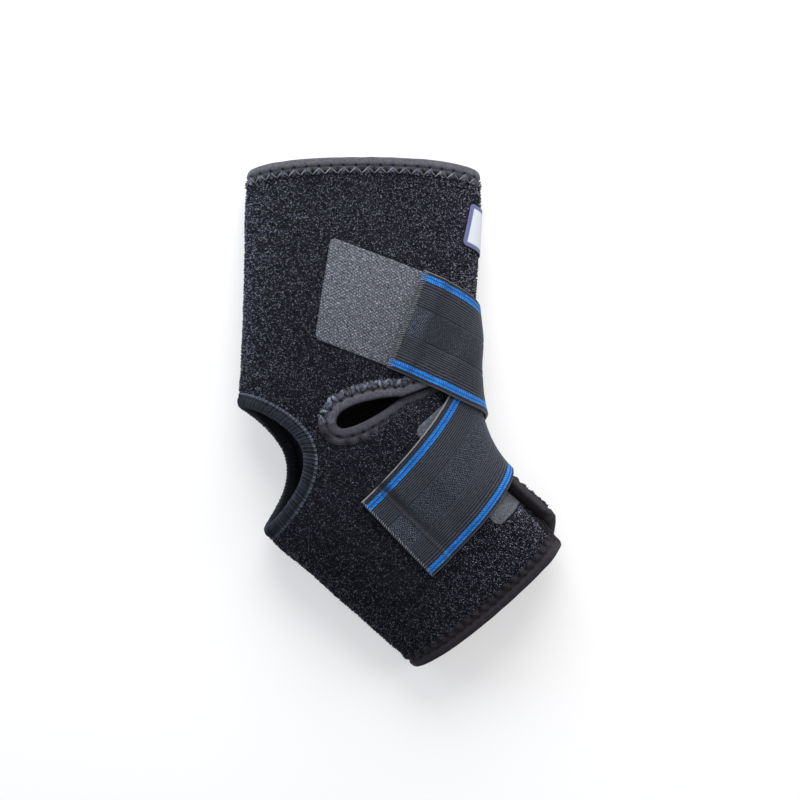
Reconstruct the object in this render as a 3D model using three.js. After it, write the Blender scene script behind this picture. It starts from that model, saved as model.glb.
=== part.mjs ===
// An open-heel ankle support lying on its side: a neoprene sleeve with a leg cuff and a foot wrap,
// cut open in front of the ankle, with bound edges, a wide fastening tab on the instep and
// two elastic straps that cross in front of the ankle.
// +X points to the front of the leg, +Y up the leg and +Z up from the surface it lies on.
import * as THREE from "three";
import { mergeVertices } from "three/addons/utils/BufferGeometryUtils.js";

// Sleeve, in millimetres and degrees.
const LEG_LENGTH = 105; // front of the ankle to the leg opening
const LEG_WIDTH = 117; // the leg cuff lying flat
const FOOT_LENGTH = 100; // front of the ankle to the foot opening
const FOOT_WIDTH = 97; // the foot wrap lying flat, at its opening
const ANKLE_BEND = 42; // foot away from the line of the leg
const DOME_HEIGHT = 23; // upper wall above the two folds
const FOLD_HEIGHT = 13; // folds above the lower wall
const DOME_FULLNESS = 2.6; // 2 is an ellipse, more is flatter on top
const FLOOR_FULLNESS = 7;
const WALL = 3.5; // neoprene with its two facings
const LEG_ARCH = 8.5; // how far an opening's edge bows out between the folds
const FOOT_ARCH = 6.5;
const FOOT_SLANT = 3.5; // the foot opening reaches this much farther at the front fold

// Heel opening, and the slit that parts the leg cuff from the foot wrap.
const HEEL_LENGTH = 62; // along the back fold
const HEEL_GIRTH = 80; // round the heel, edge to edge
const HEEL_STATION = 6.43; // place along the sections
const HEEL_ROLL = 5; // upper half deeper than the lower, as it lies
const BRIDGE = 13; // cloth between the heel opening and the slit
const SLIT_STATION = 6;
const SLIT_GAP = 2.8;
const EYE_LENGTH = 27; // the part of the slit that gapes
const EYE_WIDTH = 12.5;
const LOWER_GAPE = 0.25; // the slit in the wall it lies on gapes less, as a share
const LIP_TUCK = 3; // the foot wrap's lip sinks under the cuff's
const TUCK_REACH = 14;

// Foot wrap's front: the lower wing laps over the upper wing's edge.
const LAP_EDGE = 0.9; // share of the half girth where the lap ends on top
const TAB_STOP = 0.893; // share where its fastening tab ends, just inside the lap
const LAP_SHORT = 11; // the lap stops short of the foot opening
const WING_EDGE = 0.965; // and where the upper wing's edge ends inside it
const SINK_FROM = 0.72; // share from which the upper wing sinks to pass inside
const CORNER_RADIUS = 7;

// Edge tape.
const TAPE = 0.7;
const TAPE_GAP = 0.4;
const TAPE_BAND = 5.5;
const TAPE_BACK = 4;

// Elastic straps and what fastens them.
const STRAP_WIDTH = 51;
const STRAP = 1.5;
const STRAP_OVER_LENGTH = 158;
const STRAP_UNDER_LENGTH = 152;
const HEM = 12;
const HEM_EXTRA = 0.9;
const GAP = 0.35; // clearance between layers
const TAB = 0.8;
const TAB_REACH = 49; // hook tab beyond the hem, along its longer edge
const TAB_SKEW = 11; // its other edge is this much shorter
const TAB_UNDER = 9; // hook tab under the hem
const TAB_CORNER = 3;
const INSTEP_TAB_WIDTH = 64;
const INSTEP_TAB_REACH = 27; // at most
const INSTEP_TAB_CORNER = 4;
const LABEL_HEIGHT = 22;
const LABEL_LENGTH = 30;
const LABEL = 0.6;
const RAMP = 9; // a strap bridges a step over this distance
const BEND_FROM = 48; // a strap turns in its own plane to round the ankle
const BEND_TO = 125;
const FOLD_EASE = 0.5; // straps lie a little looser round the folds

// Where the visible end of each strip starts: millimetres from the ankle crease in the leg's
// frame, the side it lies on, its heading, in degrees above the line to the front, and how far
// it turns to the left in its own plane: near its start, and then to round the ankle.
const STRIPS = {
  strap_over: { x: -33, y: 25.4, side: 1, heading: -21, near: -8, bend: -60 },
  strap_under: { x: -37.2, y: -83.2, side: 1, heading: 43.5, near: 8, bend: 30 },
  instep_tab: { x: -8, y: -53.8, side: 1, heading: 41 },
  label_patch: { x: -2.5, y: 73.3, side: 1, heading: -12 },
};

// Sections of the sleeve from the leg opening to the foot opening. A section stands upright
// on the line from its back fold to its front fold. Leg rows are shares of LEG_LENGTH up the
// leg and LEG_WIDTH to the front, foot rows of FOOT_LENGTH to the toes and FOOT_WIDTH to the
// instep. The last three are shares of DOME_HEIGHT, FOLD_HEIGHT and the straps it lies on.
const COLUMNS = ["frame", "backAlong", "backAcross", "frontAlong", "frontAcross", "dome", "fold", "lift"];
const SECTIONS = [
  ["leg", 1.0, -0.936, 1.0, 0.017, 0.8, 0.8, 0.2],
  ["leg", 0.833, -0.962, 0.829, 0.038, 0.83, 0.85, 0.27],
  ["leg", 0.576, -0.966, 0.6, 0.03, 0.92, 0.95, 0.5],
  ["leg", 0.29, -0.97, 0.362, 0.017, 1, 1, 0.82],
  ["leg", 0.029, -0.979, 0.181, 0.009, 1, 1, 1],
  ["leg", -0.138, -0.983, 0.09, 0.004, 1, 1, 1],
  ["leg", -0.4, -0.944, 0, 0, 0.98, 1, 1],
  ["foot", -0.227, -1.253, 0.125, -0.096, 0.98, 1, 1],
  ["foot", -0.045, -1.338, 0.274, -0.171, 0.97, 1, 0.92],
  ["foot", 0.208, -1.309, 0.425, -0.207, 0.93, 1, 0.75],
  ["foot", 0.476, -1.28, 0.592, -0.2, 0.87, 0.95, 0.58],
  ["foot", 0.754, -1.247, 0.754, -0.183, 0.8, 0.9, 0.38],
  ["foot", 0.905, -1.228, 0.892, -0.19, 0.76, 0.86, 0.22],
  ["foot", 0.995, -1.227, 0.985, -0.175, 0.72, 0.83, 0.2],
].map((row) => Object.fromEntries(COLUMNS.map((name, i) => [name, row[i]])));
const LAST_STATION = SECTIONS.length - 2; // the foot opening at its folds
const STRAP_LAYER = 2 * (GAP + STRAP) + TAPE_GAP + TAPE + GAP; // both straps, over an edge tape

// Small helpers.
const { sin, cos, abs, max, min, sqrt, hypot, PI } = Math;
const lerp = THREE.MathUtils.lerp;
const clamp = THREE.MathUtils.clamp;
const radians = THREE.MathUtils.degToRad;
const ease = (x) => THREE.MathUtils.smoothstep(x, 0, 1);
const steps = (from, to, count, shape = (x) => x) =>
  Array.from({ length: count + 1 }, (_, k) => lerp(from, to, shape(k / count)));
const vec = (x, y, z) => new THREE.Vector3(x, y, z);

// The sleeve's outer skin as a function of a station along it and a turn round it:
// turn 0 is the back fold, 1 or -1 the front fold, and between 0 and 1 is the upper wall.
function frameOf(row) {
  const bend = radians(row.frame === "leg" ? 0 : ANKLE_BEND);
  return row.frame === "leg"
    ? { along: vec(0, LEG_LENGTH, 0), across: vec(LEG_WIDTH, 0, 0) }
    : {
        along: vec(sin(bend), -cos(bend), 0).multiplyScalar(FOOT_LENGTH),
        across: vec(cos(bend), sin(bend), 0).multiplyScalar(FOOT_WIDTH),
      };
}

const STATIONS = SECTIONS.map((row) => {
  const { along, across } = frameOf(row);
  const fold = (a, c) => along.clone().multiplyScalar(a).addScaledVector(across, c);
  return {
    back: fold(row.backAlong, row.backAcross),
    front: fold(row.frontAlong, row.frontAcross),
    dome: row.dome * DOME_HEIGHT,
    fold: row.fold * FOLD_HEIGHT,
    lift: row.lift * STRAP_LAYER,
  };
});

function curve(values, x) {
  const i = clamp(Math.floor(x), 0, values.length - 2);
  const f = x - i;
  const at = (k) => values[clamp(k, 0, values.length - 1)];
  const [a, b, c, d] = [at(i - 1), at(i), at(i + 1), at(i + 2)];
  return b + (f * (c - a + f * (2 * a - 5 * b + 4 * c - d + f * (3 * (b - c) + d - a)))) / 2;
}

const track = (pick) => {
  const values = STATIONS.map(pick);
  return (u) => curve(values, u);
};
const backX = track((s) => s.back.x);
const backY = track((s) => s.back.y);
const frontX = track((s) => s.front.x);
const frontY = track((s) => s.front.y);
const domeAt = track((s) => s.dome);
const foldAt = track((s) => s.fold);
const liftAt = track((s) => s.lift);

function skin(u, t) {
  const c = cos(PI * t);
  const w = (1 - c) / 2;
  const upper = sin(PI * t) >= 0;
  const bulge = sqrt(max(0, 1 - abs(c) ** (upper ? DOME_FULLNESS : FLOOR_FULLNESS)));
  const z = liftAt(u) + foldAt(u) + bulge * (upper ? domeAt(u) : -foldAt(u));
  return vec(lerp(backX(u), frontX(u), w), lerp(backY(u), frontY(u), w), z);
}

const TINY = 1e-3;
function slopes(u, t) {
  return {
    along: skin(u + TINY, t).sub(skin(u - TINY, t)).divideScalar(2 * TINY),
    round: skin(u, t + TINY).sub(skin(u, t - TINY)).divideScalar(2 * TINY),
  };
}
const outward = (u, t) => {
  const { along, round } = slopes(u, t);
  return along.cross(round).normalize();
};
const perStation = (u, t) => slopes(u, t).along.length();
const perTurn = (u, t) => slopes(u, t).round.length();

// One straight step over the skin: where it leads, and the heading carried there.
function stride(place, heading, distance) {
  const move = (at, dir) => {
    const { along: a, round: r } = slopes(at.u, at.t);
    const [aa, ar, rr] = [a.dot(a), a.dot(r), r.dot(r)];
    const [ad, rd] = [a.dot(dir), r.dot(dir)];
    const det = aa * rr - ar * ar;
    return { u: (ad * rr - rd * ar) / det, t: (rd * aa - ad * ar) / det };
  };
  const flatten = (at, dir) => {
    const n = outward(at.u, at.t);
    return dir.clone().addScaledVector(n, -dir.dot(n)).normalize();
  };
  const half = move(place, flatten(place, heading));
  const middle = { u: place.u + (half.u * distance) / 2, t: place.t + (half.t * distance) / 2 };
  const full = move(middle, flatten(middle, heading));
  const end = { u: place.u + full.u * distance, t: place.t + full.t * distance };
  return { place: end, heading: flatten(end, heading) };
}
function walk(place, heading, distance, longest = 3) {
  const count = max(1, Math.ceil(abs(distance) / longest));
  let state = { place, heading };
  for (let k = 0; k < count; k++) state = stride(state.place, state.heading, distance / count);
  return state;
}

// Station and turn of a point given in plan, found by a few Newton steps.
function locate(x, y, side) {
  let [u, t] = [LAST_STATION / 2, side / 2];
  for (let k = 0; k < 30; k++) {
    const p = skin(u, t);
    const { along: a, round: r } = slopes(u, t);
    const det = a.x * r.y - a.y * r.x;
    const [dx, dy] = [x - p.x, y - p.y];
    u += clamp((dx * r.y - dy * r.x) / det, -1, 1);
    t += clamp((dy * a.x - dx * a.y) / det, -0.1, 0.1);
  }
  return { u, t };
}

// Heel opening and slit, as stations against turn.
const halfGirth = steps(0, 1, 60).slice(1)
  .reduce((sum, t, k) => sum + skin(SLIT_STATION, t).distanceTo(skin(SLIT_STATION, k / 60)), 0);
const heelMiddle = HEEL_ROLL / halfGirth;
const heelReach = HEEL_GIRTH / 2 / halfGirth;
const heelHalf = HEEL_LENGTH / 2 / perStation(HEEL_STATION, 0);
const tipUpper = heelMiddle + heelReach + BRIDGE / halfGirth;
const tipLower = heelMiddle - heelReach - BRIDGE / halfGirth;
const eyeTurn = EYE_LENGTH / halfGirth;

const heelHeight = (t) => heelHalf * sqrt(max(0, 1 - ((t - heelMiddle) / heelReach) ** 2));
function lipHeight(t, side) {
  const d = (t > 0 ? t - tipUpper : tipLower - t) * halfGirth;
  if (d <= 0) return 0;
  const gape = d < EYE_LENGTH ? sin(PI * (d / EYE_LENGTH) ** 0.6) ** 0.8 : 0;
  const open = (t > 0 ? 1 : LOWER_GAPE) * (EYE_WIDTH - SLIT_GAP) * gape;
  const half = (SLIT_GAP * sqrt(min(1, d / SLIT_GAP)) + open) / 2;
  return half / perStation(SLIT_STATION + side * 0.2, t);
}
function seam(t) {
  const inHeel = abs(t - heelMiddle) <= heelReach;
  if (inHeel) return HEEL_STATION;
  const past = (abs(t - heelMiddle) - heelReach) / (BRIDGE / halfGirth);
  return lerp(HEEL_STATION, SLIT_STATION, ease(min(1, past)));
}
const wrapTurn = (t) => (t > 1 ? t - 2 : t < -1 ? t + 2 : t);
function edgeOfCuff(t) {
  return seam(wrapTurn(t)) - heelHeight(wrapTurn(t)) - lipHeight(wrapTurn(t), -1);
}
const hollow = (t) => 1 - abs(sin(PI * t)) ** 1.3;
const topOfCuff = (t) => (LEG_ARCH * hollow(t)) / perStation(0.5, 0.5);

// Foot wrap: turns run from the upper wing's edge round the sole to the lap's edge, which
// lies past -1, on top of the upper wing.
const LAP_TURN = LAP_EDGE - 2;
const SINK = WALL + 2 * (TAPE + TAPE_GAP) + 2 * GAP;
const onFoot = (t) => clamp(t, -1, 1);
function cornerDrop(t, u) {
  const d = min(WING_EDGE - t, t - LAP_TURN) * perTurn(u, onFoot(t));
  const r = CORNER_RADIUS;
  return d >= r ? 0 : (r - sqrt(r * r - (r - max(0, d)) ** 2)) / perStation(u, t);
}
const topOfFoot = (t) =>
  seam(onFoot(t)) + heelHeight(t) + lipHeight(onFoot(t), 1) + cornerDrop(t, SLIT_STATION + 0.5);
function endOfFoot(t) {
  const slant = (FOOT_SLANT * (1 - cos(PI * t))) / 2;
  const reach = FOOT_ARCH * (1 - hollow(t)) + slant - LAP_SHORT * ease((-0.6 - t) / 0.45);
  return LAST_STATION + reach / perStation(LAST_STATION, t) - cornerDrop(t, LAST_STATION);
}
function sinkAt(u, t) {
  if (t < 0) return 0;
  const away = ((u - SLIT_STATION) * perStation(SLIT_STATION + 0.5, t)) / TUCK_REACH;
  const tuck = LIP_TUCK * ease((t - tipUpper) / eyeTurn) * ease(1 - away);
  return max(tuck, SINK * ease((t - SINK_FROM) / (LAP_EDGE - 0.01 - SINK_FROM)));
}
const cuffLayer = () => 0;
const footLayer = (u, t) => -sinkAt(u, t);
const clothLayer = (u, t) => (u > SLIT_STATION && t > 0 && t < 1 ? footLayer(u, t) : 0);

// Collects triangles of one solid.
class Shell {
  constructor() {
    this.points = [];
  }
  face(...loop) {
    for (let k = 1; k < loop.length - 1; k++) this.points.push(loop[0], loop[k], loop[k + 1]);
  }
  // Grid of rows of points; along a row, then on to the next row, turns as seen from outside.
  grid(rows, closed = false) {
    for (let r = 0; r < rows.length - 1; r++) {
      const n = rows[r].length;
      for (let k = 0; k < (closed ? n : n - 1); k++) {
        const j = (k + 1) % n;
        this.face(rows[r][k], rows[r][j], rows[r + 1][j], rows[r + 1][k]);
      }
    }
  }
  geometry() {
    const bare = new THREE.BufferGeometry().setFromPoints(this.points);
    const merged = mergeVertices(bare, 1e-3);
    merged.computeVertexNormals();
    return merged;
  }
}

const ROWS = 8;
function columnOf(t, from, to, layer) {
  const first = TAPE_BAND / perStation(from, t) / (to - from);
  const last = 1 - TAPE_BAND / perStation(to, t) / (to - from);
  const shares = [0, ...steps(min(first, 0.2), max(last, 0.8), ROWS - 2), 1];
  return shares.map((share) => {
    const u = lerp(from, to, share);
    const base = skin(u, t);
    const n = outward(u, t);
    const lift = layer(u, t);
    return {
      u,
      t,
      outer: base.clone().addScaledVector(n, lift),
      inner: base.clone().addScaledVector(n, lift - WALL),
    };
  });
}

// Turns of the cloth's grid: close together at the hole tips and at the folds.
const heelTurns = steps(-PI / 2, PI / 2, 14)
  .map((a) => heelMiddle + heelReach * sin(a - 0.15 * sin(2 * a)));
const bridgeTurns = (tip, heel) => steps(heel, tip, 2).slice(1);
const lipTurns = (tip, edge) => [
  ...steps(tip, tip + Math.sign(tip) * eyeTurn, 6, (x) => x ** 1.6).slice(1),
  ...steps(tip + Math.sign(tip) * eyeTurn, edge, 9, (x) => 1 - (1 - x) ** 1.5).slice(1),
];
const heelUpper = heelTurns[heelTurns.length - 1];
const heelLower = heelTurns[0];
const middleTurns = [
  ...bridgeTurns(tipLower, heelLower).reverse(),
  ...heelTurns,
  ...bridgeTurns(tipUpper, heelUpper),
];
const cuffTurns = [...lipTurns(tipLower, -1).reverse(), ...middleTurns, ...lipTurns(tipUpper, 1)].slice(1);
const wingInner = WING_EDGE - CORNER_RADIUS / perTurn(8, 1);
const cornerTurns = (edge, side) =>
  [65, 42, 20, 0].map((a) => edge - (side * CORNER_RADIUS * (1 - cos(radians(a)))) / perTurn(8, 1));
const footTurns = [
  ...cornerTurns(LAP_TURN, -1).reverse(),
  -1.025,
  ...lipTurns(tipLower, -1).reverse(),
  ...middleTurns,
  ...lipTurns(tipUpper, wingInner),
  ...cornerTurns(WING_EDGE, 1),
];

const cuff = cuffTurns.map((t) => columnOf(t, topOfCuff(t), edgeOfCuff(t), cuffLayer));
const foot = footTurns.map((t) => columnOf(t, topOfFoot(t), endOfFoot(t), footLayer));
const isBridge = (a, b) => {
  const m = (a + b) / 2;
  return (m > heelUpper && m < tipUpper) || (m < heelLower && m > tipLower);
};

function sleeve() {
  const shell = new Shell();
  const wall = (columns, closed) => {
    const all = closed ? [...columns, columns[0]] : columns;
    shell.grid(all.map((c) => c.map((p) => p.outer)));
    shell.grid(all.map((c) => c.map((p) => p.inner).reverse()));
  };
  const rim = (a, b) => shell.face(a.outer, a.inner, b.inner, b.outer);
  wall(cuff, true);
  wall(foot, false);
  cuff.forEach((column, k) => {
    const next = cuff[(k + 1) % cuff.length];
    rim(next[0], column[0]);
    if (!isBridge(column[0].t, next[0].t)) rim(column.at(-1), next.at(-1));
  });
  foot.slice(1).forEach((next, k) => {
    const column = foot[k];
    rim(column.at(-1), next.at(-1));
    if (!isBridge(column[0].t, next[0].t)) rim(next[0], column[0]);
  });
  foot[0].slice(1).forEach((p, k) => rim(foot[0][k], p));
  foot.at(-1).slice(1).forEach((p, k) => rim(p, foot.at(-1)[k]));
  return shell.geometry();
}

// Edge tape folded over the cloth: its section is given as distance in from the edge and
// height over the skin, and is carried along a closed loop with the cloth on its left.
const [HIGH, LOW] = [TAPE_GAP + TAPE, -(WALL + TAPE_GAP + TAPE)];
const TAPE_SECTION = [
  [TAPE_BAND, TAPE_GAP],
  [TAPE_BAND, TAPE_GAP + 0.6 * TAPE],
  [TAPE_BAND / 2, HIGH],
  [0, HIGH],
  [-HIGH, -0.2 * WALL],
  [-HIGH, -0.8 * WALL],
  [0, LOW],
  [TAPE_BACK, LOW + 0.4 * TAPE],
  [TAPE_BACK, LOW + TAPE],
  [-TAPE_GAP, LOW + TAPE],
  [-TAPE_GAP, TAPE_GAP],
  [TAPE_BAND / 2, TAPE_GAP],
];
const over = ({ u, t }, layer, height) => skin(u, t).addScaledVector(outward(u, t), layer(u, t) + height);

function tape(loop) {
  const spots = loop.map((p) => over(p, p.layer, 0));
  const rows = loop.map((p, k) => {
    const here = spots[k];
    const behind = here.clone().sub(spots.at(k - 1)).normalize();
    const ahead = spots[(k + 1) % spots.length].clone().sub(here).normalize();
    const forward = behind.add(ahead);
    const mitre = min(1.3, 2 / forward.length());
    const inward = outward(p.u, p.t).cross(forward).normalize();
    return TAPE_SECTION.map(([depth, height]) => {
      const place = walk({ u: p.u, t: p.t }, inward, depth * mitre).place;
      return over(place, p.layer, height);
    });
  });
  const shell = new Shell();
  shell.grid([...rows, rows[0]], true);
  return shell.geometry();
}

const on = (layer) => (p) => ({ u: p.u, t: p.t, layer });
const inHeel = (column) => column[0].t >= heelLower && column[0].t <= heelUpper;
const firsts = (columns) => columns.map((c) => c[0]);
const lasts = (columns) => columns.map((c) => c.at(-1));
const legLoop = firsts(cuff).map(on(cuffLayer)).reverse();
const heelLoop = [
  ...lasts(cuff.filter(inHeel)).map(on(cuffLayer)),
  ...firsts(foot.filter(inHeel)).slice(1, -1).map(on(footLayer)).reverse(),
];
const upperLip = (columns) => columns.filter((c) => c[0].t >= tipUpper - 1e-9);
const lowerLip = (columns) => columns.filter((c) => c[0].t <= tipLower + 1e-9);
const frontLoop = [
  ...lasts(upperLip(cuff)).map(on(cuffLayer)),
  ...lasts(lowerLip(cuff)).map(on(cuffLayer)),
  ...firsts(lowerLip(foot)).slice(0, -1).map(on(footLayer)).reverse(),
  ...foot[0].slice(1).map(on(footLayer)),
  ...lasts(foot).slice(1).map(on(footLayer)),
  ...foot.at(-1).slice(0, -1).map(on(footLayer)).reverse(),
  ...firsts(upperLip(foot)).slice(1, -1).map(on(footLayer)).reverse(),
];

// What a strip crosses: places on the skin with the height reached there.
const FLAT = 6; // reach of one such place
const clothPlaces = [...frontLoop, ...heelLoop]
  .map((p) => ({ spot: skin(p.u, p.t), height: p.layer(p.u, p.t) + HIGH }))
  .filter((p) => p.height > 0);
const heightOver = (spot, places) => places.reduce((most, p) => {
  const share = 1 - (spot.distanceTo(p.spot) - FLAT) / RAMP;
  return share > 0 ? max(most, p.height * ease(share)) : most;
}, 0);

// Where a strip's middle line is after a distance.
function spineAt(start, distance) {
  const count = max(1, Math.ceil(abs(distance) / 3));
  const pace = distance / count;
  let state = start;
  for (let k = 0; k < count; k++) {
    state = stride(state.place, state.heading, pace);
    const here = (k + 0.5) * pace;
    const near = here > 0 && here < BEND_FROM ? (start.near ?? 0) / BEND_FROM : 0;
    const round = here > BEND_FROM && here < BEND_TO ? (start.bend ?? 0) / (BEND_TO - BEND_FROM) : 0;
    const turn = radians((near + round) * pace);
    state.heading.applyAxisAngle(outward(state.place.u, state.place.t), turn);
  }
  return state;
}
function spotAcross(start, distance, aside) {
  const spine = spineAt(start, distance);
  const left = outward(spine.place.u, spine.place.t).cross(spine.heading);
  return walk(spine.place, left, aside).place;
}

// A strip of webbing or hook tape laid over the skin. `reach` gives how far it runs at each
// share across, `thickness` depends on the distance from both of its ends, and a strip that
// hugs the cloth sinks with it.
function strip({ start, alongs, acrosses, width, reach, places, thickness, from = () => 0, hugs = false }) {
  const spans = acrosses.map((across) => ({ across, near: from(across), far: reach(across) }));
  const cells = alongs.map((along) => spans.map(({ across, near, far }) => {
    const distance = lerp(near, far, along);
    const place = spotAcross(start, distance, (across * width) / 2);
    const spot = skin(place.u, place.t);
    const normal = outward(place.u, place.t);
    const cloth = hugs ? clothLayer(place.u, place.t) : 0;
    const loose = hugs ? GAP * ease(-cloth / 2) : FOLD_EASE * (1 - normal.z ** 2);
    const base = heightOver(spot, places) + cloth + GAP + loose;
    const top = base + thickness(distance - near, far - distance);
    return {
      spot,
      height: top,
      low: spot.clone().addScaledVector(normal, base),
      high: spot.clone().addScaledVector(normal, top),
    };
  }));
  const shell = new Shell();
  const rims = [
    cells.map((row) => row[0]),
    cells.at(-1),
    cells.map((row) => row.at(-1)).reverse(),
    cells[0].slice().reverse(),
  ];
  shell.grid(cells.map((row) => row.map((c) => c.high).reverse()));
  shell.grid(cells.map((row) => row.map((c) => c.low)));
  rims.forEach((rim) => shell.grid([rim.map((c) => c.low), rim.map((c) => c.high)]));
  const between = (a, b) =>
    steps(0, 1, Math.ceil(a.spot.distanceTo(b.spot) / 5)).slice(1).map((share) => ({
      spot: a.spot.clone().lerp(b.spot, share),
      height: max(a.height, b.height),
    }));
  const crossed = cells.slice(1).flatMap((row, k) => row.flatMap((c, j) => between(cells[k][j], c)));
  return { geometry: shell.geometry(), places: [...cells[0], ...crossed] };
}

function startOf({ x, y, side, heading, ...turning }) {
  const place = locate(x, y, side);
  const angle = radians(heading);
  const normal = outward(place.u, place.t);
  const level = vec(cos(angle), sin(angle), 0);
  return { place, heading: level.addScaledVector(normal, -level.dot(normal)).normalize(), ...turning };
}

const hemmed = (a, b) => {
  const end = min(a, b);
  return STRAP + HEM_EXTRA * clamp((HEM + 1.5 - end) / 1.5, 0, 1);
};
const webAlongs = (length) =>
  [0, HEM, HEM + 1.5, 26, ...steps(34, 98, 15), 107, 117, 128, length - HEM - 1.5, length - HEM, length]
    .map((s) => s / length);
const webAcrosses = steps(-1, 1, 8);
const corner = (v, width, radius) => {
  const d = ((1 - abs(v)) * width) / 2;
  return d >= radius ? 0 : radius - sqrt(radius * radius - (radius - d) ** 2);
};
const roundedAcrosses = (width, radius, between = 4) => {
  const edge = [0, 0.25, 1].map((x) => 1 - (2 * radius * x) / width);
  return [...edge.map((v) => -v), ...steps(-0.68, 0.68, between), ...edge.reverse()];
};

// A strap's hook tab runs on from the strap's end, skewed, with two rounded corners.
function hookTab(end, skew) {
  return strip({
    start: end,
    alongs: [0, 0.12, 0.3, 0.5, 0.7, 0.88, 1],
    acrosses: roundedAcrosses(STRAP_WIDTH - 1, TAB_CORNER),
    width: STRAP_WIDTH - 1,
    from: () => -TAB_UNDER,
    reach: (v) => TAB_REACH - (TAB_SKEW * (1 + skew * v)) / 2 - corner(v, STRAP_WIDTH - 1, TAB_CORNER),
    places: clothPlaces,
    thickness: () => TAB,
    hugs: true,
  });
}
function web(start, length, places) {
  return strip({
    start,
    alongs: webAlongs(length),
    acrosses: webAcrosses,
    width: STRAP_WIDTH,
    reach: () => length,
    places,
    thickness: hemmed,
  });
}
const reversed = (state) => ({ place: state.place, heading: state.heading.clone().negate() });

const overStart = startOf(STRIPS.strap_over);
const underStart = startOf(STRIPS.strap_under);
const underEnd = spineAt(underStart, STRAP_UNDER_LENGTH);
const overTab = hookTab(reversed(overStart), 1);
const underTab = hookTab(underEnd, -1);
const instepStart = startOf(STRIPS.instep_tab);
function reachToLap(v) {
  let [near, far] = [0, INSTEP_TAB_REACH];
  for (let k = 0; k < 20; k++) {
    const middle = (near + far) / 2;
    const { t } = spotAcross(instepStart, middle, (v * INSTEP_TAB_WIDTH) / 2);
    if (t < TAB_STOP) near = middle;
    else far = middle;
  }
  return near;
}
const instepTab = strip({
  start: instepStart,
  alongs: steps(0, 1, 8, (x) => 1 - (1 - x) ** 1.5),
  acrosses: roundedAcrosses(INSTEP_TAB_WIDTH, INSTEP_TAB_CORNER, 6),
  width: INSTEP_TAB_WIDTH,
  from: (v) => corner(v, INSTEP_TAB_WIDTH, INSTEP_TAB_CORNER),
  reach: reachToLap,
  places: [],
  thickness: () => TAB,
  hugs: true,
});
const label = strip({
  start: startOf(STRIPS.label_patch),
  alongs: steps(0, 1, 9),
  acrosses: steps(-1, 1, 2),
  width: LABEL_HEIGHT,
  reach: () => LABEL_LENGTH,
  places: [],
  thickness: () => LABEL,
});
const underPlaces = [...clothPlaces, ...instepTab.places, ...underTab.places];
const strapUnder = web(underStart, STRAP_UNDER_LENGTH, underPlaces);
const overPlaces = [...clothPlaces, ...instepTab.places, ...overTab.places, ...strapUnder.places];
const strapOver = web(overStart, STRAP_OVER_LENGTH, overPlaces);

const parts = new THREE.Group();
function add(name, geometry, colour, roughness) {
  const material = new THREE.MeshStandardMaterial({ color: colour, roughness, metalness: 0 });
  const mesh = new THREE.Mesh(geometry, material);
  mesh.name = name;
  parts.add(mesh);
}

add("sleeve", sleeve(), 0x17181c, 0.95);
add("leg_binding", tape(legLoop), 0x101114, 0.8);
add("heel_binding", tape(heelLoop), 0x2a3038, 0.85);
add("front_binding", tape(frontLoop), 0x101114, 0.8);
add("instep_tab", instepTab.geometry, 0x3b3c40, 0.9);
add("label_patch", label.geometry, 0xe6e8ee, 0.7);
add("strap_under_tab", underTab.geometry, 0x3b3c40, 0.9);
add("strap_under", strapUnder.geometry, 0x16171b, 0.85);
add("strap_over_tab", overTab.geometry, 0x3b3c40, 0.9);
add("strap_over", strapOver.geometry, 0x16171b, 0.85);

// The frame's origin is at the middle of the footprint, on the surface it lies on.
const bounds = new THREE.Box3().setFromObject(parts);
const middle = bounds.getCenter(vec(0, 0, 0));
parts.position.set(-middle.x, -middle.y, -bounds.min.z);

export default parts;
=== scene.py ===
import math

import bpy
import numpy as np
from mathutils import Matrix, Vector, kdtree


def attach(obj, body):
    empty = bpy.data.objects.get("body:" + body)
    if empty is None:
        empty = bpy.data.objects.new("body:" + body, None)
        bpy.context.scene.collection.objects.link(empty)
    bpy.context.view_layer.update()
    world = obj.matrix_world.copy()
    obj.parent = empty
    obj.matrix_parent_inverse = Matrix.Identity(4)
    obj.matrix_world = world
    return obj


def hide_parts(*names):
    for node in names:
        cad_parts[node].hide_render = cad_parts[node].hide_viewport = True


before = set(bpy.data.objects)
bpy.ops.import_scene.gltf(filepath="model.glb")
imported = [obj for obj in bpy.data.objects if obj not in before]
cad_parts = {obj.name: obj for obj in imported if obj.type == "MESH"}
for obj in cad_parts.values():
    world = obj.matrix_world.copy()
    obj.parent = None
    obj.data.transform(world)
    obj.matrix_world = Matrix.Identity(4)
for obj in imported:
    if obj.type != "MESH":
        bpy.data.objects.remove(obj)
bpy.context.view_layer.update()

# Sizes of the solids, in millimetres and degrees, as in the part's source.
LEG_LENGTH, LEG_WIDTH = 105, 117
FOOT_LENGTH, FOOT_WIDTH = 100, 97
ANKLE_BEND = 42
DOME_HEIGHT, FOLD_HEIGHT = 23, 13
DOME_FULLNESS, FLOOR_FULLNESS = 2.6, 7
WALL = 3.5
LEG_ARCH, FOOT_ARCH, FOOT_SLANT = 8.5, 6.5, 3.5
HEEL_LENGTH, HEEL_GIRTH, HEEL_STATION, HEEL_ROLL = 62, 80, 6.43, 5
BRIDGE, SLIT_STATION, SLIT_GAP = 13, 6, 2.8
EYE_LENGTH, EYE_WIDTH = 27, 12.5
LIP_TUCK, TUCK_REACH = 3, 14
LAP_EDGE, TAB_STOP, LAP_SHORT = 0.9, 0.893, 11
WING_EDGE, SINK_FROM, CORNER_RADIUS = 0.965, 0.72, 7
TAPE, TAPE_GAP, TAPE_BAND, TAPE_BACK = 0.7, 0.4, 5.5, 4
STRAP_WIDTH, STRAP = 51, 1.5
STRAP_OVER_LENGTH, STRAP_UNDER_LENGTH = 158, 152
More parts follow.
